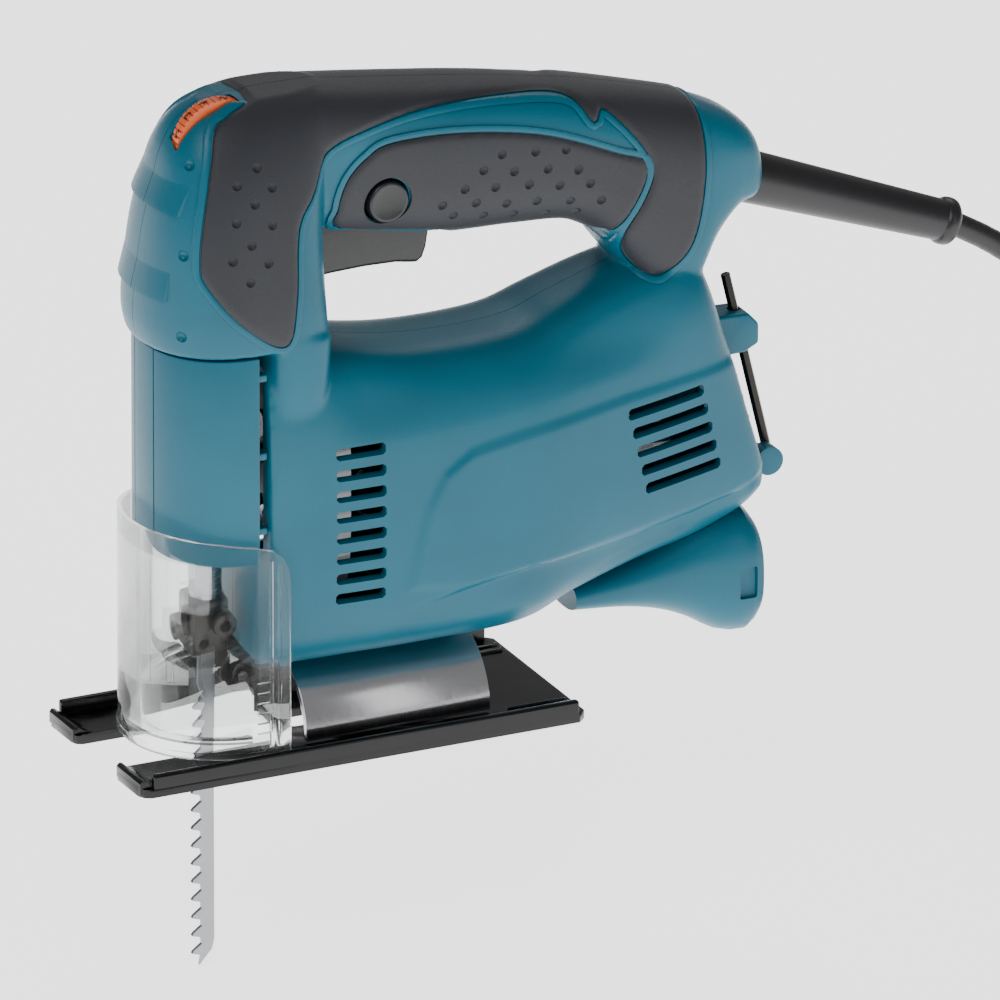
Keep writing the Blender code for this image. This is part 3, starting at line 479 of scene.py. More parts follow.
# Fills the corner between the back of the head and the top of the belly
NECK = (
    (100.0, -50.8, -31.0, -25.0, 25.0, 4.0),
    (112.0, -50.8, -30.0, -27.0, 27.0, 4.2),
    (127.0, -50.8, -29.0, -27.2, 27.2, 4.2),
)
HANDLE = (
    (-56.0, -15.5, 15.5, 146.0, 194.2, 2.7),
    (-32.0, -16.8, 16.8, 151.0, 194.0, 2.8),
    (-19.5, -17.4, 17.4, 150.0, 192.5, 2.9),
    (8.0, -17.5, 17.5, 145.6, 188.6, 2.9),
    (32.0, -17.5, 17.5, 144.5, 184.9, 2.9),
    (50.0, -17.4, 17.4, 142.6, 181.3, 2.9),
    (61.0, -17.2, 17.2, 134.0, 178.7, 2.9),
    (74.0, -17.0, 17.0, 118.0, 175.2, 2.9),
    (86.0, -16.6, 16.6, 112.0, 171.7, 2.9),
    (94.5, -16.2, 16.2, 128.0, 168.6, 2.8),
    (102.0, -15.0, 15.0, 137.0, 164.6, 2.8),
    (107.4, -13.0, 13.0, 138.0, 159.6, 2.6),
    (109.6, -9.0, 9.0, 140.0, 153.5, 2.4),
)
OPENING = (
    (-31.5, 123.0), (-31.5, 149.0), (-28.0, 153.0), (8.0, 146.5), (40.0, 144.5), (55.0, 141.8),
    (60.5, 138.0), (60.0, 133.0), (53.0, 125.4), (44.0, 119.4), (36.0, 116.2), (-5.0, 115.8), (-26.0, 118.5),
)
WALL = 2.6
SKIN_MM, INNER_MM = 0.95, 2.2
AXES = {
    "X": lambda u, v, w: (w, u, v),
    "Y": lambda u, v, w: (u, w, v),
    "Z": lambda u, v, w: (u, v, w),
}


def lofted(bm, axis, table, grow=0.0, sides=72):
    """Skins a smooth run of ovals: (place, low u, high u, low v, high v, squareness) each."""
    rows = through(table, 4.0)
    rings = []
    for i, (place, low_u, high_u, low_v, high_v, *powers) in enumerate(rows):
        end = -grow if i == 0 else grow if i == len(rows) - 1 else 0.0
        flat = squared((low_u + high_u) / 2, (low_v + high_v) / 2, (high_u - low_u) / 2 + grow,
                       (high_v - low_v) / 2 + grow, powers[0], sides, powers[-1])
        rings.append([AXES[axis](u, v, place + end) for u, v in flat])
    bands(bm, rings)


def prism(outline, axis, low, high):
    """A bar with that outline, from low to high along an axis."""
    bm = bmesh.new()
    ends = [bm.verts.new(AXES[axis](u, v, low)) for u, v in outline]
    walls = bmesh.ops.extrude_face_region(bm, geom=[bm.faces.new(ends)])["geom"]
    shift = AXES[axis](0, 0, high - low)
    moved = [part for part in walls if isinstance(part, bmesh.types.BMVert)]
    bmesh.ops.translate(bm, vec=shift, verts=moved)
    bmesh.ops.recalc_face_normals(bm, faces=bm.faces)
    return bm


def bar(low, high, round_by=0.0, segments=3):
    """A rectangular bar between two corners, its edges rounded."""
    bm = bmesh.new()
    bmesh.ops.create_cube(bm, size=1.0)
    bmesh.ops.scale(bm, vec=[h - l for l, h in zip(low, high)], verts=bm.verts)
    bmesh.ops.translate(bm, vec=[(h + l) / 2 for l, h in zip(low, high)], verts=bm.verts)
    if round_by:
        bmesh.ops.bevel(bm, geom=bm.edges[:], offset=round_by, offset_type="OFFSET", segments=segments,
                        profile=0.5, affect="EDGES", material=-1)
    return bm


def disc(start, end, radius, sides=48, end_radius=None):
    """A round bar between two points."""
    bm = bmesh.new()
    long = (Vector(end) - Vector(start)).length
    bands(bm, along(start, end, [(0.0, radius), (long, end_radius or radius)], sides))
    return bm


def tool(bm):
    """A cutter, in the same metres as the pieces it works on."""
    return made("cutter", bm)


def baked(piece):
    """Makes a piece's modifiers part of its mesh."""
    graph = bpy.context.evaluated_depsgraph_get()
    mesh = bpy.data.meshes.new_from_object(piece.evaluated_get(graph))
    piece.modifiers.clear()
    piece.data = mesh
    return piece


def combine(piece, operation, *cutters, keep=False):
    """Cuts, joins or meets a piece with each cutter in turn, and clears the cutters away."""
    for cutter in cutters:
        step = piece.modifiers.new("combine", "BOOLEAN")
        step.operation = operation
        step.solver = "MANIFOLD"
        step.object = cutter
    baked(piece)
    if not keep:
        for cutter in cutters:
            bpy.data.objects.remove(cutter)
    return piece


def skin_over(name, bm, grain, passes=6, rounding=0.5):
    """Melts overlapping shapes into one even skin of small faces and softens it."""
    piece = made(name, bm)
    melt = piece.modifiers.new("melt", "REMESH")
    melt.mode = "VOXEL"
    melt.voxel_size = grain / 1000
    soften = piece.modifiers.new("soften", "SMOOTH")
    soften.factor = rounding
    soften.iterations = passes
    return baked(piece)


def moulded_form(name, grow, grain, passes):
    bm = bmesh.new()
    lofted(bm, "X", BELLY, grow)
    lofted(bm, "Z", HEAD, grow)
    lofted(bm, "Z", NECK, grow)
    lofted(bm, "X", HANDLE, grow)
    return skin_over(name, bm, grain, passes)


def points_of(piece):
    """A mesh's points and their outward directions, in millimetres."""
    mesh = piece.data
    places = np.empty(len(mesh.vertices) * 3)
    mesh.vertices.foreach_get("co", places)
    outward = np.empty(len(mesh.vertices) * 3, np.float32)
    mesh.vertex_normals.foreach_get("vector", outward)
    return places.reshape(-1, 3) * 1000, outward.reshape(-1, 3).astype(float)


def move_to(piece, places):
    piece.data.vertices.foreach_set("co", (places / 1000).ravel())
    piece.data.update()


def inside_by(u, v, outline):
    """How far points lie inside an outline, and minus how far outside."""
    corners_ = np.array(outline, float)
    far = np.full(len(u), 1e9)
    inside = np.zeros(len(u), bool)
    for (a_u, a_v), (b_u, b_v) in zip(corners_, np.roll(corners_, -1, 0)):
        d_u, d_v = b_u - a_u, b_v - a_v
        t = np.clip(((u - a_u) * d_u + (v - a_v) * d_v) / (d_u * d_u + d_v * d_v + 1e-12), 0, 1)
        far = np.minimum(far, np.hypot(u - a_u - t * d_u, v - a_v - t * d_v))
        crosses = (a_v > v) != (b_v > v)
        inside ^= crosses & (u < a_u + (v - a_v) * d_u / (d_v if abs(d_v) > 1e-12 else 1e-12))
    return np.where(inside, far, -far)


# Side panel, a little proud, and the crease below it: (x, z) along the left side
PANEL = ((-9.4, 47.7), (-7.2, 60.0), (-3.5, 72.0), (1.5, 81.0), (9.9, 86.5), (25.0, 89.0), (60.0, 93.0),
         (106.0, 96.0), (110.0, 60.0), (96.0, 54.0), (60.0, 50.5), (30.0, 48.0), (10.0, 45.5))
CREASE_X = (-45.0, -14.0, 13.0, 28.0, 60.0, 71.0, 85.0, 100.0)
CREASE_Z = (38.0, 40.5, 46.0, 48.3, 48.6, 50.0, 51.5, 56.0)
CREASE_DEEP = (0.0, 0.0, 1.4, 2.2, 3.6, 4.0, 3.2, 0.0)


def sculpt(piece, scale=1.0):
    """Scoops, panel and crease, as moves of the skin along its outward direction."""
    places, outward = points_of(piece)
    x, y, z = places.T
    on_side = eased((np.abs(outward[:, 1]) - 0.35) / 0.4) * (np.abs(y) > 9)
    shift = np.zeros(len(x))
    # thumb scoop under the handle opening
    high = 93.0 + 0.09 * np.clip(x, -10, 90)
    reach = eased((x + 36) / 16) * (1 - eased((x - 50) / 30))
    shift -= 1.5 * reach * np.sin(np.pi * np.clip((z - high) / (121.0 - high), 0, 1)) ** 2 * (z < 121)
    # proud side panel, its edge an easy slope
    shift += 0.9 * on_side * eased((inside_by(x, z, PANEL) + 1.5) / 3.6)
    # crease over the dust duct
    under = np.interp(x, CREASE_X, CREASE_Z) - z
    deep = np.interp(x, CREASE_X, CREASE_DEEP)
    shift -= deep * on_side * eased((under + 0.8) / 2.6) * (1 - 0.75 * eased((under - 3) / 12))
    move_to(piece, places + outward * (shift * scale)[:, None])




def twin(piece, amount):
    """A copy of a piece whose skin stands out by an amount, or by one amount for each point."""
    copy = bpy.data.objects.new("twin", piece.data.copy())
    scene.collection.objects.link(copy)
    places, outward = points_of(copy)
    move_to(copy, places + outward * np.reshape(amount, (-1, 1)))
    return copy


def widened(outline, by):
    """A closed outline moved outwards by a distance."""
    rows = np.array(outline, float)
    ahead, behind = np.roll(rows, -1, 0), np.roll(rows, 1, 0)
    run = ahead - behind
    run /= np.linalg.norm(run, axis=1)[:, None] + 1e-12
    turn = np.sign(np.sum(rows[:, 0] * (ahead[:, 1] - behind[:, 1])))
    return rows + turn * by * np.stack([run[:, 1], -run[:, 0]], 1)


form = moulded_form("outer_form", 0.0, SKIN_MM, 7)
sculpt(form)
inner = moulded_form("inner_form", -WALL, INNER_MM, 3)
sculpt(inner)
shell = twin(form, 0.0)

# Wedge-shaped ledges that wrap the front corners of the head: foot and crest of each
LEDGES = ((174.5, 166.0), (149.5, 141.0))
LEDGE_PROUD, LEDGE_WRAP = 1.1, 15.0
places, outward = points_of(form)
for top, crest in LEDGES:
    wedge = twin(form, LEDGE_PROUD * np.clip((top - places[:, 2]) / (top - crest), 0, 1))
    combine(wedge, "INTERSECT", tool(bar((-100, -LEDGE_WRAP, crest), (-55, LEDGE_WRAP, top))))
    combine(shell, "UNION", wedge)

# Soft grips: their outlines as (x, z) from the side
HEAD_GRIP = through([
    (-47.0, 127.0), (-60.0, 135.3), (-69.0, 147.0), (-70.3, 154.0), (-68.0, 168.0), (-62.5, 187.0),
    (-57.0, 191.3), (-52.0, 193.2), (-47.0, 194.9), (-45.0, 197.0), (-44.0, 206.0), (60.0, 206.0),
    (86.0, 182.0), (88.5, 172.0), (88.0, 150.0), (84.0, 132.0), (75.0, 124.0), (67.5, 128.0),
    (64.0, 138.0), (72.0, 157.0), (59.0, 175.5), (54.0, 173.5), (47.5, 181.0), (27.0, 184.5),
    (2.0, 185.5), (-16.0, 183.4), (-29.0, 179.0), (-35.5, 169.0), (-41.5, 160.0), (-43.5, 139.0),
], 1.5, True)
HANDLE_GRIP = through([
    (-22.9, 153.5), (-25.2, 161.0), (-23.0, 169.0), (-17.0, 175.0), (-9.0, 178.0), (12.6, 177.2),
    (38.0, 172.4), (60.0, 163.5), (70.0, 157.5), (62.0, 141.5), (55.0, 140.0), (20.0, 140.5), (8.0, 147.5),
], 1.5, True)
BEAD_FROM, BEAD_TO, BEAD_PROUD = 0.45, 2.1, 0.75
for outline in (HEAD_GRIP, HANDLE_GRIP):
    near = np.abs(inside_by(places[:, 0], places[:, 2], outline) + (BEAD_FROM + BEAD_TO) / 2)
    bead = twin(form, BEAD_PROUD * (1 - 0.6 * np.clip(near / 1.4, 0, 1) ** 2))
    combine(bead, "INTERSECT", tool(prism(widened(outline, BEAD_TO), "Y", -60, 60)))
    combine(bead, "DIFFERENCE", tool(prism(widened(outline, BEAD_FROM), "Y", -60, 60)))
    combine(shell, "UNION", bead)

combine(shell, "DIFFERENCE", tool(prism(through(OPENING, 2.0, True), "Y", -60, 60)))
combine(shell, "DIFFERENCE", inner)


# Louvres slant up and inwards, so that the motor can't be seen or wetted through them
def louvre(x, z, long, rise, side):
    end, top = x + long, z + rise
    outline = [(x + 0.8, z), (end - 0.8, top), (end, top + 0.8), (end, top + 2.6),
               (end - 0.8, top + 3.4), (x + 0.8, z + 3.4), (x, z + 2.6), (x, z + 0.8)]
    bm = prism(outline, "Y", 8.0 * side, 40.0 * side)
    for vert in bm.verts:
        vert.co.z += 1.1 * (28.0 - abs(vert.co.y)) * (abs(vert.co.y) < 20) * 0.3
    bmesh.ops.recalc_face_normals(bm, faces=bm.faces)
    return tool(bm)


def middle_of(node):
    """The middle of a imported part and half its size, in millimetres."""
    low, high = corners(node)
    return (low + high) / 2, (high - low) / 2


dial_at, dial_half = middle_of("speed_dial")
button_at, _ = middle_of("lock_button")
guard_hole = disc((99, 0, 146.5), (118, 0, 139.2), 8.3, 40)
bush_at, _ = middle_of("upper_bush")
ways = [
    bar((-60, -21, 62), (-44, 21, 119), 3.0),
    disc((bush_at.x, 0, 118), (bush_at.x, 0, 132), 10.5),
    bar((-32.2, -10.3, 130), (7.6, 10.3, 158.3)),
    guard_hole,
    disc((-14, 0, 20), (-14, 0, 30), 3.5),
    disc((dial_at.x, -7.6, dial_at.z), (dial_at.x, -2.4, dial_at.z), dial_half.z - 0.4, 64),
    disc((button_at.x, -40, button_at.z), (button_at.x, -5, button_at.z), 6.9),
]
combine(shell, "DIFFERENCE", *[tool(way) for way in ways])
fins = []
for side in (-1, 1):
    fins += [louvre(-31.5, 87.4 - 6.23 * i, 15.0, 0.2, side) for i in range(8)]
    fins += [louvre(59.9 + 1.5 * i, 83.2 - 5.95 * i, 25.6, 1.0, side) for i in range(5)]
combine(shell, "DIFFERENCE", *fins)


def dimples(piece, spots, side, radius, deep):
    """Presses round dimples into the side of a piece at (x, z) spots."""
    places, outward = points_of(piece)
    near_side = places[:, 1] * side > 2
    places, outward = places[near_side], outward[near_side]
    bm = bmesh.new()
    for x, z in spots:
        reach = (places[:, 0] - x) ** 2 + (places[:, 2] - z) ** 2 - 0.002 * places[:, 1] * side
        at = int(np.argmin(reach + 50 * (outward[:, 1] * side < 0.2)))
        centre = Vector(places[at] + outward[at] * (radius - deep))
        ball = bmesh.ops.create_uvsphere(bm, u_segments=20, v_segments=12, radius=radius)["verts"]
        bmesh.ops.translate(bm, vec=centre, verts=ball)
    return combine(piece, "DIFFERENCE", tool(bm))


# Teal moulded nylon: satin, with the even bite of an eroded mould and a slight drift of shade.
teal_nylon = moulded("moulded_teal_nylon", "#005B70", 0.38, 0.7, 0.035, 0.10, Specular_IOR_Level=0.35)
HALF_GAP = 0.1
HEAD_DIMPLES = ((-69.6, 179.7), (-73.8, 155.6), (-75.0, 131.5))
for side, word in ((-1, "left"), (1, "right")):
    half = twin(shell, 0.0)
    half.name = half.data.name = f"clamshell_{word}"
    near, far = sorted((HALF_GAP * side, 80.0 * side))
    combine(half, "INTERSECT", tool(bar((-120, near, -20), (150, far, 230))))
    dimples(half, HEAD_DIMPLES, side, 1.9, 1.1)
    half.data.materials.clear()
    half.data.materials.append(teal_nylon)
    half.data.shade_smooth()
    half.data.set_sharp_from_angle(angle=math.radians(38))
    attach(half, "housing")
    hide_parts(f"housing_{word}")
bpy.data.objects.remove(shell)

# ---- Soft grips ----
# Dark grey thermoplastic rubber, moulded onto each half over the head, the crown and the
# handle. Rounded at its edge, pressed with rows of round dimples for hold.

# Soft rubber: matt and very slightly blue, with a fine leathery tooth and a dusty sheen.
soft_rubber = moulded(
    "moulded_soft_grip", "#1B1E25", 0.58, 0.5, 0.04, 0.12, Sheen_Weight=0.15, Sheen_Roughness=0.4
)
HEAD_SPOTS = ((-52.9, 179.3), (-59.0, 175.4), (-48.7, 173.2), (-54.8, 169.3), (-60.7, 165.2), (-50.3, 162.9),
              (-56.3, 158.6), (-62.3, 154.5), (-51.7, 152.2), (-57.7, 148.1))
# Height and place of the first dimple of each row, and how many
HANDLE_ROWS = ((170.0, 24.6, 3), (165.5, 18.7, 4), (161.4, 12.8, 5), (157.2, 6.6, 6), (152.8, 9.7, 5))
PITCH, FALL = 9.8, 0.14


def soft_skin(name, outline, side):
    """A rubber skin over one outline, full in the middle and rounded down at its edge."""
    depth = inside_by(places[:, 0], places[:, 2], outline)
    crown = np.sqrt(1 - (1 - np.clip(depth / 1.8, 0, 1)) ** 2)
    skin = twin(form, 0.4 + 0.7 * crown)
    skin.name = skin.data.name = name
    near, far = sorted((HALF_GAP * side, 60.0 * side))
    combine(skin, "INTERSECT", tool(prism(outline, "Y", near, far)))
    return combine(skin, "DIFFERENCE", under, keep=True)


under = twin(form, 0.15)
for side, word in ((-1, "left"), (1, "right")):
    head_skin = soft_skin(f"head_grip_{word}", HEAD_GRIP, side)
    handle_skin = soft_skin(f"handle_grip_{word}", HANDLE_GRIP, side)
    dimples(head_skin, HEAD_SPOTS, side, 1.7, 0.85)
    spots = [(x + PITCH * i, z - FALL * PITCH * i) for z, x, count in HANDLE_ROWS for i in range(count)]
    dimples(handle_skin, spots, side, 1.7, 0.85)
    if side < 0:
        slot_near, slot_far = (dial_at.x, -7.6, dial_at.z), (dial_at.x, -2.4, dial_at.z)
        combine(head_skin, "DIFFERENCE", tool(disc(slot_near, slot_far, dial_half.z - 0.4, 64)))
        combine(handle_skin, "DIFFERENCE",
                tool(disc((button_at.x, -40, button_at.z), (button_at.x, -5, button_at.z), 7.3)))
    for skin, node in ((head_skin, f"grip_{word}"), (handle_skin, f"handle_pad_{word}")):
        skin.data.materials.clear()
        skin.data.materials.append(soft_rubber)
        skin.data.shade_smooth()
        skin.data.set_sharp_from_angle(angle=math.radians(40))
        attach(skin, "housing")
        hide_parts(node)
bpy.data.objects.remove(under)

# ---- Front cover ----
# A teal cover over the plunger, moulded in the same nylon. It is screwed on under the head and
# hooks behind the two clamshell edges with three small ribs a side.


def shade_piece(piece, material, body, nodes=(), smooth=35.0):
    """Gives a finished piece its material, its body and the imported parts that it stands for."""
    piece.data.materials.clear()
    piece.data.materials.append(material)
    piece.data.shade_smooth()
    piece.data.set_sharp_from_angle(angle=math.radians(smooth))
    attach(piece, body)
    if nodes:
        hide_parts(*nodes)
    return piece


def rounded(piece, width, segments=3, angle=40.0):
    """Breaks the sharp edges of a piece with a small radius."""
    edge = piece.modifiers.new("edge", "BEVEL")
    edge.width = width / 1000
    edge.segments = segments
    edge.limit_method = "ANGLE"
    edge.angle_limit = math.radians(angle)
    edge.harden_normals = False
    return baked(piece)


def half_round(middle_x, half_x, half_y, power, rear_x, wall, sides=96):
    """A U-shaped wall round the front of the tool, seen from above."""
    rims = []
    for inset in (0.0, wall):
        oval = squared(middle_x, 0, half_x - inset, half_y - inset, power, sides)
        rim = [p for p in oval if p[0] < middle_x]
        rims.append([(rear_x, half_y - inset), *rim, (rear_x, inset - half_y)])
    return rims[0] + rims[1][::-1]


cover_low, cover_high = corners("front_cover")
COVER_MIDDLE = -54.0
cover_half_x, cover_half_y = COVER_MIDDLE - cover_low.x, cover_high.y
column = tool(prism(half_round(COVER_MIDDLE, cover_half_x, cover_half_y, 2.2, cover_high.x, 2.4), "Z",
                    cover_low.z, cover_high.z))
rounded(column, 0.5, 2)
grooves = []
for y in (-6.2, 6.2):
    grooves.append(tool(bar((cover_low.x - 2, y - 0.25, 55), (cover_low.x + 0.9, y + 0.25, 130))))
combine(column, "DIFFERENCE", *grooves)
ribs = []
for z in (117.5, 94.0, 71.5):
    for side in (-1, 1):
        near, far = sorted((22.0 * side, 25.4 * side))
        ribs.append(tool(bar((-56.0, near, z - 1.0), (-51.7, far, z + 1.0), 0.3, 2)))
combine(column, "UNION", *ribs)
column.name = column.data.name = "plunger_cover"
shade_piece(column, teal_nylon, "housing", ["front_cover"])

# ---- Dust duct ----
# The hollow tail of the body, where a vacuum hose plugs in: a flared mouth with a round port and
# a snap recess on each side. Moulded with the clamshell and trimmed where it meets it.

DUCT = (
    (52.0, -9.0, 9.0, 22.0, 30.5, 2.4),
    (68.0, -11.5, 11.5, 20.5, 35.0, 2.4),
    (80.0, -13.5, 13.5, 17.6, 40.0, 2.4),
    (89.0, -15.0, 15.0, 13.6, 44.0, 2.5),
    (96.0, -16.5, 16.5, 9.4, 46.0, 2.6),
    (104.0, -17.0, 17.0, 8.0, 46.5, 2.6),
    (107.6, -15.5, 15.5, 12.0, 42.5, 2.6),
)
bm = bmesh.new()
lofted(bm, "X", DUCT)
duct = tool(bm)
clear_of = twin(form, 0.2)
PORT_Z, PORT_R = 25.5, 10.0
combine(duct, "DIFFERENCE", clear_of, keep=True)
combine(duct, "DIFFERENCE", tool(disc((90, 0, PORT_Z), (118, 0, PORT_Z), PORT_R)))
recesses = []
for side in (-1, 1):
    near, far = side * 18.4 - 3.4, side * 18.4 + 3.4
    recesses.append(tool(bar((99.6, near, 21.5), (105.0, far, 31.0), 0.6, 2)))
combine(duct, "DIFFERENCE", *recesses)
duct.name = duct.data.name = "dust_duct"
shade_piece(duct, teal_nylon, "housing", ["dust_nozzle"], 30.0)

# ---- Key clip ----
# A wedge of teal nylon behind the body with a hole for the hexagon key, and a hook lower down
# that its bent foot rests in. Three small ribs between them keep the key from rattling.

sleeve_low, sleeve_high = corners("key_sleeve")
wedge = [
    (93.0, sleeve_low.z - 1.0), (106.4, sleeve_low.z - 0.6), (110.9, sleeve_low.z + 1.6),
    (110.9, sleeve_high.z - 3.0), (107.6, sleeve_high.z + 0.6), (93.0, sleeve_high.z + 1.2),
]
clip = rounded(tool(prism(wedge, "Y", -5.2, 5.2)), 0.9, 3)
key_top, key_foot = Vector((102.6, 0, 114.0)), Vector((116.2, 0, 57.0))
key_run = (key_foot - key_top).normalized()
key_mid = (key_top + key_foot) / 2 + (key_top - key_foot) * 0.2
combine(clip, "DIFFERENCE", clear_of, keep=True)
combine(clip, "DIFFERENCE", tool(disc(key_mid - key_run * 20, key_mid + key_run * 20, 1.9, 24)))
clip.name = clip.data.name = "key_clip"
shade_piece(clip, teal_nylon, "housing", ["key_sleeve"])

rest_low, rest_high = corners("key_rest")
hook = tool(disc((113.2, rest_low.y, 58), (113.2, rest_high.y, 58), 4.2, 40))
combine(hook, "UNION", tool(bar((104, rest_low.y, 55.5), (113.2, rest_high.y, 60.5))))
rounded(hook, 0.7, 3)
combine(hook, "DIFFERENCE", clear_of, keep=True)
hook.name = hook.data.name = "key_hook"
shade_piece(hook, teal_nylon, "housing", ["key_rest"])
for number, z in enumerate((71.0, 77.5, 84.0)):
    rib = rounded(tool(bar((96.0, -4.5, z - 1.1), (108.4 - 0.28 * (z - 71.0), 4.5, z + 1.1))), 0.8, 3)
    combine(rib, "DIFFERENCE", clear_of, keep=True)
    rib.name = rib.data.name = f"key_rib_{number + 1}"
    shade_piece(rib, teal_nylon, "housing")
bpy.data.objects.remove(clear_of)

# The key itself: a hexagon bar of tool steel with a black oxide skin, its short leg bent round.
KEY_BEND, KEY_R = 4.0, 1.5
legs = [key_top, key_foot - key_run * KEY_BEND]
for share in (0.25, 0.5, 0.75, 1.0):
    a = share * math.pi / 2
    across = Vector((0.0, KEY_BEND * (1 - math.cos(a)), 0.0))
    legs.append(key_foot - key_run * KEY_BEND * (1 - math.sin(a)) + across)
legs.append(Vector((key_foot.x + 0.4, 16.0, key_foot.z - 2.6)))
rings = []
for i, at in enumerate(legs):
    ahead = (legs[min(i + 1, len(legs) - 1)] - legs[max(i - 1, 0)]).normalized()
    turn = Vector((0, 0, 1)).rotation_difference(ahead).to_matrix()
    if rings:
        turn = last_ahead.rotation_difference(ahead).to_matrix() @ turn_before
    last_ahead, turn_before = ahead, turn
    ring = []
    for corner in range(6):
        angle = math.pi * corner / 3
        ring.append(at + turn @ Vector((KEY_R * math.cos(angle), KEY_R * math.sin(angle), 0)))
    rings.append(ring)
bm = bmesh.new()
bands(bm, rings)
# Black oxide: a thin dark skin on steel, half gloss, its tone drifting a little at random.
black_oxide = turned_metal("black_oxide_steel", "#3A3836", 0.38, 0.4, "Z", 0.35)
key = rounded(tool(bm), 0.15, 2, 30)
key.name = key.data.name = "hexagon_key"
shade_piece(key, black_oxide, "key", ["hex_key"])

# ---- Housing screws ----
# Six thread-forming screws, driven from the right into bosses in the left half. Their heads sit
# in shallow wells with a cross recess.

screw_steel = turned_metal("blackened_screw_steel", "#4A4845", 0.35, 0.3, "Y", 0.3)
SCREWS = ((-39.0, 112.0), (-39.0, 38.0), (44.0, 40.0), (84.0, 116.0), (92.0, 158.0), (-33.0, 172.0))
right_half = bpy.data.objects["clamshell_right"]
spots, facing = points_of(right_half)
for number, (x, z) in enumerate(SCREWS):
    outside = (facing[:, 1] > 0.4) & (np.hypot(spots[:, 0] - x, spots[:, 2] - z) < 3.0)
    top = float(spots[outside, 1].max()) if outside.any() else 20.0
    head = tool(disc((x, top - 1.6, z), (x, top + 0.25, z), 3.3, 32))
    for turn in (0, 1):
        half_x, half_z = (2.1, 0.45) if turn else (0.45, 2.1)
        cross = bar((x - half_x, top - 0.9, z - half_z), (x + half_x, top + 2, z + half_z))
        combine(head, "DIFFERENCE", tool(cross))
    rounded(head, 0.25, 2, 50)
    head.name = head.data.name = f"housing_screw_{number + 1}"
    shade_piece(head, screw_steel, "housing")

# ---- Speed dial ----
# An orange thumb wheel set in the left half beside the centre line. Its rim is notched for the
# thumb, and the settings are printed on it in black.

orange_acetal = moulded("moulded_orange_acetal", "#E0622C", 0.36, 0.9, 0.02, 0.08)
dial_radius = dial_half.z - 1.0
WHEEL_NEAR, WHEEL_FAR = -7.0, -3.0
MILLED = 44
milling = []
for i in range(MILLED * 6):
    a = 2 * math.pi * i / (MILLED * 6)
    reach = dial_radius - (0.0, 0.0, 0.0, 0.0, 0.0, 0.5)[i % 6]
    milling.append((dial_at.x + reach * math.cos(a), dial_at.z + reach * math.sin(a)))
dial = tool(prism(milling, "Y", WHEEL_NEAR, WHEEL_FAR))
dial.name = dial.data.name = "speed_wheel"
shade_piece(dial, orange_acetal, "dial", ["speed_dial"])

# Black paint pressed into the rim: matt, a little worn.
print_black = moulded("printed_black_ink", "#161514", 0.6, 0.6, 0.01)
DIGITS, DIGIT_SIZE, FIRST_ANGLE, DIGIT_STEP = "12345", 3.6, 186.0, 26.0
WHEEL_MIDDLE = (WHEEL_NEAR + WHEEL_FAR) / 2
stamped = bmesh.new()
for i, digit in enumerate(DIGITS):
    written = bpy.data.curves.new("digit", "FONT")
    written.body = digit
    written.size = DIGIT_SIZE
    written.align_x = written.align_y = "CENTER"
    written.extrude = 0.12
    carrier = bpy.data.objects.new("digit", written)
    scene.collection.objects.link(carrier)
    flat = bpy.data.meshes.new_from_object(carrier.evaluated_get(bpy.context.evaluated_depsgraph_get()))
    spot = math.radians(FIRST_ANGLE - DIGIT_STEP * i)
    for point in flat.vertices:
        a = spot - point.co.y / dial_radius
        reach = dial_radius + point.co.z
        at = Vector((dial_at.x + reach * math.cos(a), WHEEL_MIDDLE + point.co.x, dial_at.z))
        point.co = at + Vector((0, 0, reach * math.sin(a)))
    stamped.from_mesh(flat)
    bpy.data.objects.remove(carrier)
    bpy.data.meshes.remove(flat)
bmesh.ops.recalc_face_normals(stamped, faces=stamped.faces)
numbers = tool(stamped)
numbers.name = numbers.data.name = "dial_numbers"
shade_piece(numbers, print_black, "dial")

# ---- Lock button and trigger ----
# Both are moulded in black nylon. The button locks the trigger down, and the trigger rocks on a
# pin inside the front of the handle.

black_nylon = moulded("moulded_black_nylon", "#161719", 0.34, 1.0, 0.04, 0.2)
button_low, button_high = corners("lock_button")
button_start = Vector((button_at.x, button_high.y, button_at.z))
button_end = Vector((button_at.x, button_low.y, button_at.z))
long = button_high.y - button_low.y
bm = bmesh.new()
bands(bm, along(button_start, button_end, [
    (0.0, 2.3), (long - 4.0, 2.3), (long - 3.9, 6.1), (long - 0.7, 6.1), (long - 0.2, 5.8), (long, 5.3),
    (long - 0.1, 4.9), (long - 0.5, 3.5), (long - 0.7, 1.5), (long - 0.75, 0.3),
], 64))
button = made("lock_cap", bm)
shade_piece(button, black_nylon, "lock", ["lock_button"], 50.0)

TRIGGER = (
    (-31.0, 139.2), (-31.0, 149.5), (-27.5, 155.5), (6.8, 153.0), (6.3, 146.0), (5.6, 141.6), (4.4, 138.4),
    (2.6, 137.2), (0.6, 137.4), (-4.0, 138.2), (-14.0, 138.5), (-24.0, 138.2), (-29.0, 137.8),
)
lever = rounded(tool(prism(TRIGGER, "Y", -9.4, 9.4)), 2.0, 4)
lever.name = lever.data.name = "trigger_lever"
shade_piece(lever, black_nylon, "trigger", ["trigger"])

# ---- Clear guard ----
# Polycarbonate wrapped round the front of the column, thin enough to spring. It slides up with
# the ribs on its sides as a grip, and its lower rim is turned in to stiffen it.

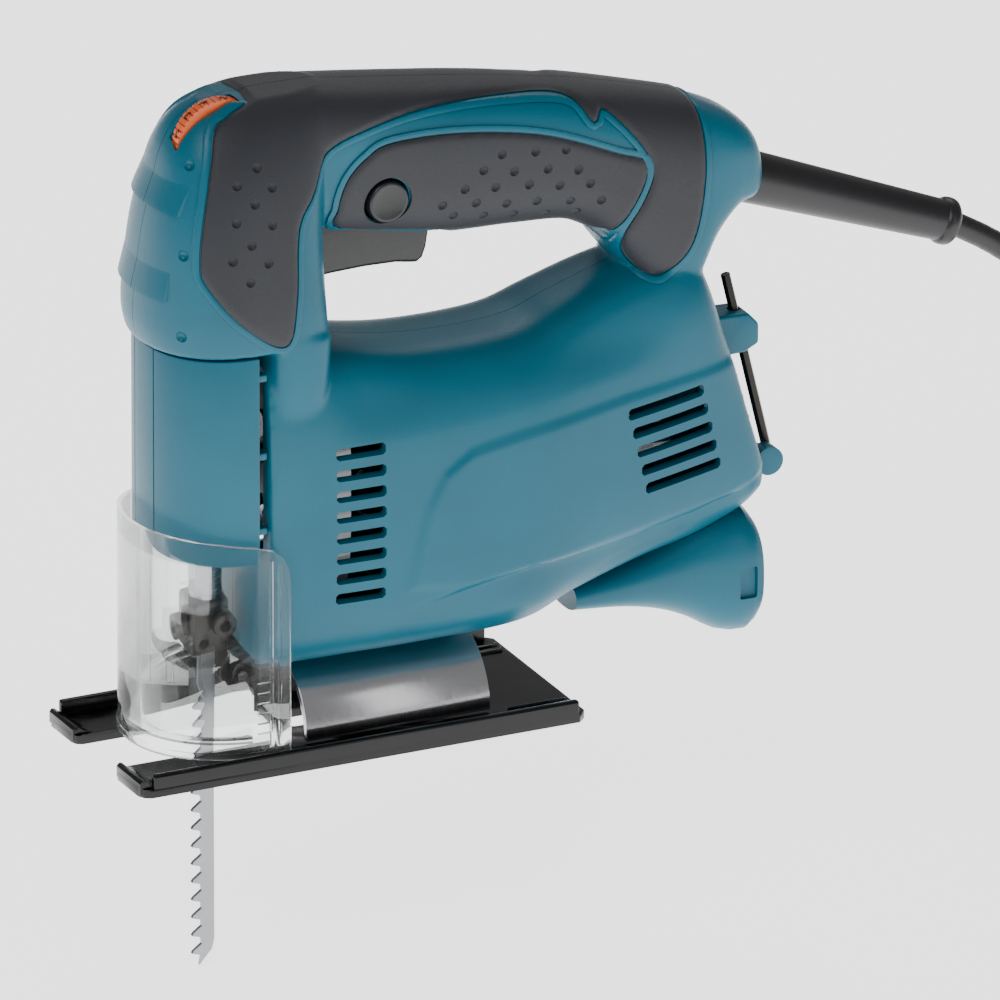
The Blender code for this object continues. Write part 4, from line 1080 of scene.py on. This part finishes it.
material, shader, place = new_finish(
    "moulded_clear_polycarbonate", Transmission_Weight=1.0, IOR=1.3, Alpha=0.8
)
haze = put(material, "ShaderNodeTexNoise", Vector=place, Scale=1 / 0.02, Detail=3.0)
tint = put(material, "ShaderNodeMix", {"data_type": "RGBA"}, S0=haze.outputs["Fac"],
           S6=hue("#F4F9F9"), S7=hue("#FFFFFF"))
rough = put(material, "ShaderNodeMapRange", Value=haze.outputs["Fac"], From_Min=0.3, From_Max=0.75,
            To_Min=0.01, To_Max=0.04)
clear_polycarbonate = shade(material, shader, tint.outputs[2], rough.outputs[0])
guard_low, guard_high = corners("chip_cover")
GUARD_MIDDLE = -50.0
RIM_REAR = -56.0
guard_x, guard_y = GUARD_MIDDLE - guard_low.x, guard_high.y


def guard_band(outer, inner, low, high, rear=None):
    """A strip of the guard between two insets and two heights, shorter if a rear end is given."""
    rims = []
    for inset in (outer, inner):
        oval = squared(GUARD_MIDDLE, 0, guard_x - inset, guard_y - inset, 2.2, 144)
        rim = [p for p in oval if p[0] < (rear or GUARD_MIDDLE)]
        if rear is None:
            rim = [(guard_high.x, guard_y - inset), *rim, (guard_high.x, inset - guard_y)]
        rims.append(rim)
    return tool(prism(rims[0] + rims[1][::-1], "Z", low, high))


guard = guard_band(0.0, 1.3, guard_low.z, guard_high.z + 1.2)
turned_in = guard_band(0.6, 3.4, 9.0, 10.2, RIM_REAR)
foot_band = guard_band(-0.35, 0.5, guard_low.z + 0.01, 7.0)
combine(guard, "UNION", turned_in, foot_band)
TOP_EDGE = (
    (-90.0, 71.6), (-80.0, 71.2), (-68.0, 69.8), (-56.0, 67.8), (-51.0, 66.4), (-48.2, 64.0), (-46.6, 60.4),
    (-46.0, 56.0), (-40.0, 56.0), (-40.0, 90.0), (-90.0, 90.0),
)
combine(guard, "DIFFERENCE", tool(prism(TOP_EDGE, "Y", -60, 60)))
ribs = []
for side in (-1, 1):
    face = side * (guard_y - 0.2)
    near, far = sorted((face, face + side * 0.75))
    for x, top in ((-49.6, 62.0), (-52.2, 64.0)):
        ribs.append(tool(bar((x - 0.45, near, guard_low.z + 3), (x + 0.45, far, top), 0.2, 1)))
    low_y, high_y = (near, face + 0.45) if side > 0 else (face - 0.45, near + 0.6)
    for i in range(6):
        ribs.append(tool(bar((-56.4, low_y, 12.0 + 3.0 * i), (-52.4, high_y, 12.5 + 3.0 * i))))
combine(guard, "UNION", *ribs)
rounded(guard, 0.18, 2, 50)
guard.name = guard.data.name = "clear_guard"
shade_piece(guard, clear_polycarbonate, "cover", ["chip_cover"])

# ---- Plunger end, blade and roller ----
# The steel clamp on the plunger takes a plain-shank blade and holds it with two hexagon screws. A
# grooved roller on a bent bracket backs the blade up.

ground_steel = turned_metal("ground_steel", "#B4B4B6", 0.24, 0.25, "Z", 0.12)
blackened_steel = turned_metal("blackened_steel", "#4C4A48", 0.36, 0.4, "Z", 0.3)
blade_steel = turned_metal("rolled_blade_steel", "#9EA0A3", 0.3, 0.5, "X", 0.2)

holder_low, holder_high = corners("blade_holder")
clamp = rounded(tool(bar(holder_low, holder_high)), 1.3, 3)
combine(clamp, "DIFFERENCE", tool(bar((-64.2, -1.0, 20), (-56.3, 1.0, 37))),
        tool(disc((-62.6, -9, 28.6), (-62.6, 9, 28.6), 1.6, 24)))
clamp.name = clamp.data.name = "blade_clamp"
shade_piece(clamp, blackened_steel, "plunger", ["blade_holder"])

CLAMP_BOLTS = (
    ("clamp_bolt_side", Vector((-57.4, -5.9, 35)), Vector((-57.4, -9.6, 35))),
    ("clamp_bolt_front", Vector((-66.8, 0, 33)), Vector((-70.2, 0, 33))),
)
for node, start, end in CLAMP_BOLTS:
    run = (end - start).normalized()
    screw = rounded(tool(disc(start, end, 3.6, 48)), 0.35, 2)
    combine(screw, "DIFFERENCE", tool(disc(end - run * 1.9, end + run, 2.0, 6)))
    screw.name = screw.data.name = node + "_head"
    shade_piece(screw, blackened_steel, "plunger", [node])

BACK, TOOTH_ROOT, TOOTH_TIP = -56.9, -61.0, -63.9
edge = [(BACK, 36.5), (BACK, -60.0), (-57.6, -63.0), (-61.6, -67.5)]
z, PITCH_OF_TEETH = -64.5, 5.4
while z < 8.0:
    edge += [(TOOTH_ROOT, z), (TOOTH_TIP, z + 0.9), (TOOTH_TIP + 0.5, z + 1.7), (TOOTH_ROOT + 0.2, z + 3.6)]
    z += PITCH_OF_TEETH
edge += [(-62.4, 14.0), (-62.4, 36.5)]
saw = rounded(tool(prism(edge, "Y", -0.6, 0.6)), 0.12, 1, 30)
saw.name = saw.data.name = "saw_blade"
shade_piece(saw, blade_steel, "plunger", ["blade"])

roller_low, roller_high = corners("blade_roller")
roller_at = (roller_low + roller_high) / 2
radius = (roller_high.z - roller_low.z) / 2
start = Vector((roller_at.x, roller_low.y, roller_at.z))
bm = bmesh.new()
bands(bm, along(start, start + Vector((0, 6.6, 0)), [
    (0.0, radius - 1.0), (0.1, radius - 0.4), (0.5, radius), (2.2, radius), (2.7, radius - 1.1),
    (3.9, radius - 1.1), (4.4, radius), (6.1, radius), (6.5, radius - 0.4), (6.6, radius - 1.0),
], 64))
wheel = combine(made("grooved_roller", bm), "DIFFERENCE",
                tool(disc((roller_at.x, -8, roller_at.z), (roller_at.x, 8, roller_at.z), 1.75, 32)))
shade_piece(wheel, blackened_steel, "roller", ["blade_roller"])

BRACKET = (
    (-54.5, 12.5), (-53.6, 18.6), (-52.5, 20.5), (-46.0, 23.0), (-42.8, 24.1), (-38.6, 24.1), (-38.6, 15.0),
    (-46.0, 11.4),
)
fork = tool(prism(BRACKET, "Y", -6.4, 6.4))
combine(fork, "DIFFERENCE", tool(bar((-60, -3.9, 0), (-44.4, 3.9, 30))),
        tool(disc((roller_at.x, -20, roller_at.z), (roller_at.x, 20, roller_at.z), 1.8, 32)))
rounded(fork, 0.5, 3)
fork.name = fork.data.name = "roller_fork"
shade_piece(fork, blackened_steel, "housing", ["roller_bracket"])

# ---- Sole ----
# A pressed steel plate with folded rims, dipped in gloss black enamel. Its two prongs turn up in
# front like skis, so that it runs over rough wood. Its saddle is rolled bright steel.

enamel = moulded("dipped_black_enamel", "#050506", 0.2, 6.0, 0.02, 0.2, Specular_IOR_Level=0.35)
EDGE = 32.25
plate_outline = [
    (-93.6, 15.6), (-92.9, 13.6), (-91.2, 12.7), (-39.6, 12.7), (-38.0, 11.2), (-38.0, -11.2),
    (-39.6, -12.7), (-91.2, -12.7), (-92.9, -13.6), (-93.6, -15.6), (-93.6, -29.0), (-92.6, -31.2),
    (-90.5, -EDGE), (42.0, -EDGE), (44.5, -29.8), (44.5, 29.8), (42.0, EDGE), (-90.5, EDGE),
    (-92.6, 31.2), (-93.6, 29.0),
]
plate = tool(prism(plate_outline, "Z", 0.0, 2.5))
folded = []
for side in (-1, 1):
    near, far = sorted((29.8 * side, EDGE * side))
    folded.append(tool(bar((-90.0, near, 0.6), (42.0, far, 6.5), 0.7, 3)))
    near, far = sorted((14.6 * side, 30.4 * side))
    tip = [
        (-93.58, 0.9), (-93.58, 4.0), (-92.9, 4.8), (-92.0, 4.7), (-90.4, 3.4), (-87.0, 2.4), (-87.0, 0.9),
    ]
    folded.append(tool(prism(tip, "Y", near, far)))
combine(plate, "UNION", *folded)
# The slot lets the plate slide back 15 mm and be clamped by the same bolt
BOLT_X, SLIDE = -14.0, 15.0
cuts = [tool(bar((BOLT_X - SLIDE - 6.5, -6, -5), (BOLT_X + 6.5, 6, 10), 1.5, 2))]
for side in (-1, 1):
    for x in (-19.6, 10.8):
        cuts.append(tool(disc((x, side * 26.4, 1.4), (x, side * 26.4, 6.0), 1.6, 24)))
combine(plate, "DIFFERENCE", *cuts)
rounded(plate, 0.6, 3, 35)
RIBS = ((26.0, 43.0, -24.6), (25.0, 43.0, -21.0), (26.0, 43.0, 24.6), (25.0, 43.0, 21.0))
combine(plate, "UNION", *[tool(bar((a, y - 0.9, 1.6), (b, y + 0.9, 3.4), 0.6, 2)) for a, b, y in RIBS])
plate.name = plate.data.name = "enamelled_sole"
shade_piece(plate, enamel, "sole", ["sole_plate"])

rolled_steel = turned_metal("rolled_bright_steel", "#C9C9CC", 0.2, 0.35, "X", 0.1)
saddle_low, saddle_high = corners("tilt_saddle")
BEND_Z, TUBE, GAUGE = 3.2, 20.0, 2.2


def bent_strip(outer, inner, start, end, z, steps=64):
    """The end view of a strip rolled round the tilt axis, between two angles in degrees."""
    angles = [math.radians(start + (end - start) * i / steps) for i in range(steps + 1)]
    return ([(outer * math.cos(a), z + outer * math.sin(a)) for a in angles]
            + [(inner * math.cos(a), z + inner * math.sin(a)) for a in reversed(angles)])


saddle = tool(prism(bent_strip(TUBE, TUBE - GAUGE, 0, 180, BEND_Z), "X", saddle_low.x, saddle_high.x))
bolt_room = prism(bent_strip(TUBE + 5, TUBE - 8, 30, 103, 3.0, 16), "X", -32.6, -10.4)
combine(saddle, "DIFFERENCE", tool(bolt_room))
rounded(saddle, 0.35, 2)
saddle.name = saddle.data.name = "rolled_saddle"
shade_piece(saddle, rolled_steel, "sole", ["tilt_saddle"])

# ---- Inside of the body ----
# What the two halves close over: motor, fan, gears, guides and the switch with its wires' ends.
# Each keeps its plain shape and is finished in what it is really made of.

cast_alloy = turned_metal("die_cast_aluminium", "#9B9C9E", 0.42, 1.4, "Z", 0.2)
hobbed_steel = turned_metal("hobbed_gear_steel", "#6A6866", 0.32, 0.3, "X", 0.25)
sinter = turned_metal("oiled_sintered_bronze", "#7E5E38", 0.5, 0.35, "Z", 0.3)
pressed_carbon = moulded("pressed_carbon", "#1E1E20", 0.55, 0.3, 0.05, 0.3)
fibre_board = moulded("green_fibre_board", "#1F5B39", 0.4, 0.7, 0.02, 0.2)
clamp_nylon = moulded("moulded_cable_clamp_nylon", "#1B1B1D", 0.45, 0.9, 0.03, 0.2)


def layered(name, colour, dark, pitch_mm, roughness):
    """Metal made of layers or turns side by side along X, with a darker line between them."""
    material, shader, place = new_finish(name, metallic=1.0)
    wave = put(material, "ShaderNodeTexWave", {"bands_direction": "X"}, Vector=place,
               Scale=1000 / pitch_mm / 20)
    tint = put(material, "ShaderNodeMix", {"data_type": "RGBA"}, S0=wave.outputs["Fac"],
               S6=hue(dark), S7=hue(colour))
    rough = put(material, "ShaderNodeMapRange", Value=wave.outputs["Fac"],
                To_Min=roughness + 0.12, To_Max=roughness)
    bump = put(material, "ShaderNodeBump", Height=wave.outputs["Fac"], Strength=0.6, Distance=0.00008)
    return shade(material, shader, tint.outputs[2], rough.outputs[0], bump.outputs[0])


stacked_iron = layered("stacked_iron_sheets", "#77787B", "#3B3C3F", 0.6, 0.42)
wound_copper = layered("enamelled_copper_wire", "#B4652F", "#6A3417", 0.5, 0.28)
INSIDE = (
    (cast_alloy, ("gear_case",)),
    (ground_steel, ("armature_shaft", "front_bearing", "rear_bearing", "crank_pin", "gear_axle", "plunger",
                    "roller_pin")),
    (hobbed_steel, ("drive_gear",)),
    (stacked_iron, ("armature_core", "stator_core")),
    (wound_copper, ("field_coil_top", "field_coil_bottom", "commutator")),
    (drawn_brass, ("brush_holder_left", "brush_holder_right")),
    (pressed_carbon, ("carbon_brush_left", "carbon_brush_right")),
    (sinter, ("upper_bush", "lower_bush")),
    (black_nylon, ("cooling_fan", "fan_baffle", "switch_body")),
    (clamp_nylon, ("cord_clamp", "suppressor")),
    (fibre_board, ("speed_board",)),
    (blackened_steel, ("clamp_shoe", "sole_bolt")),
)
for material, nodes in INSIDE:
    for node in nodes:
        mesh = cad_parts[node].data
        mesh.materials.clear()
        mesh.materials.append(material)
bpy.data.objects.remove(form)
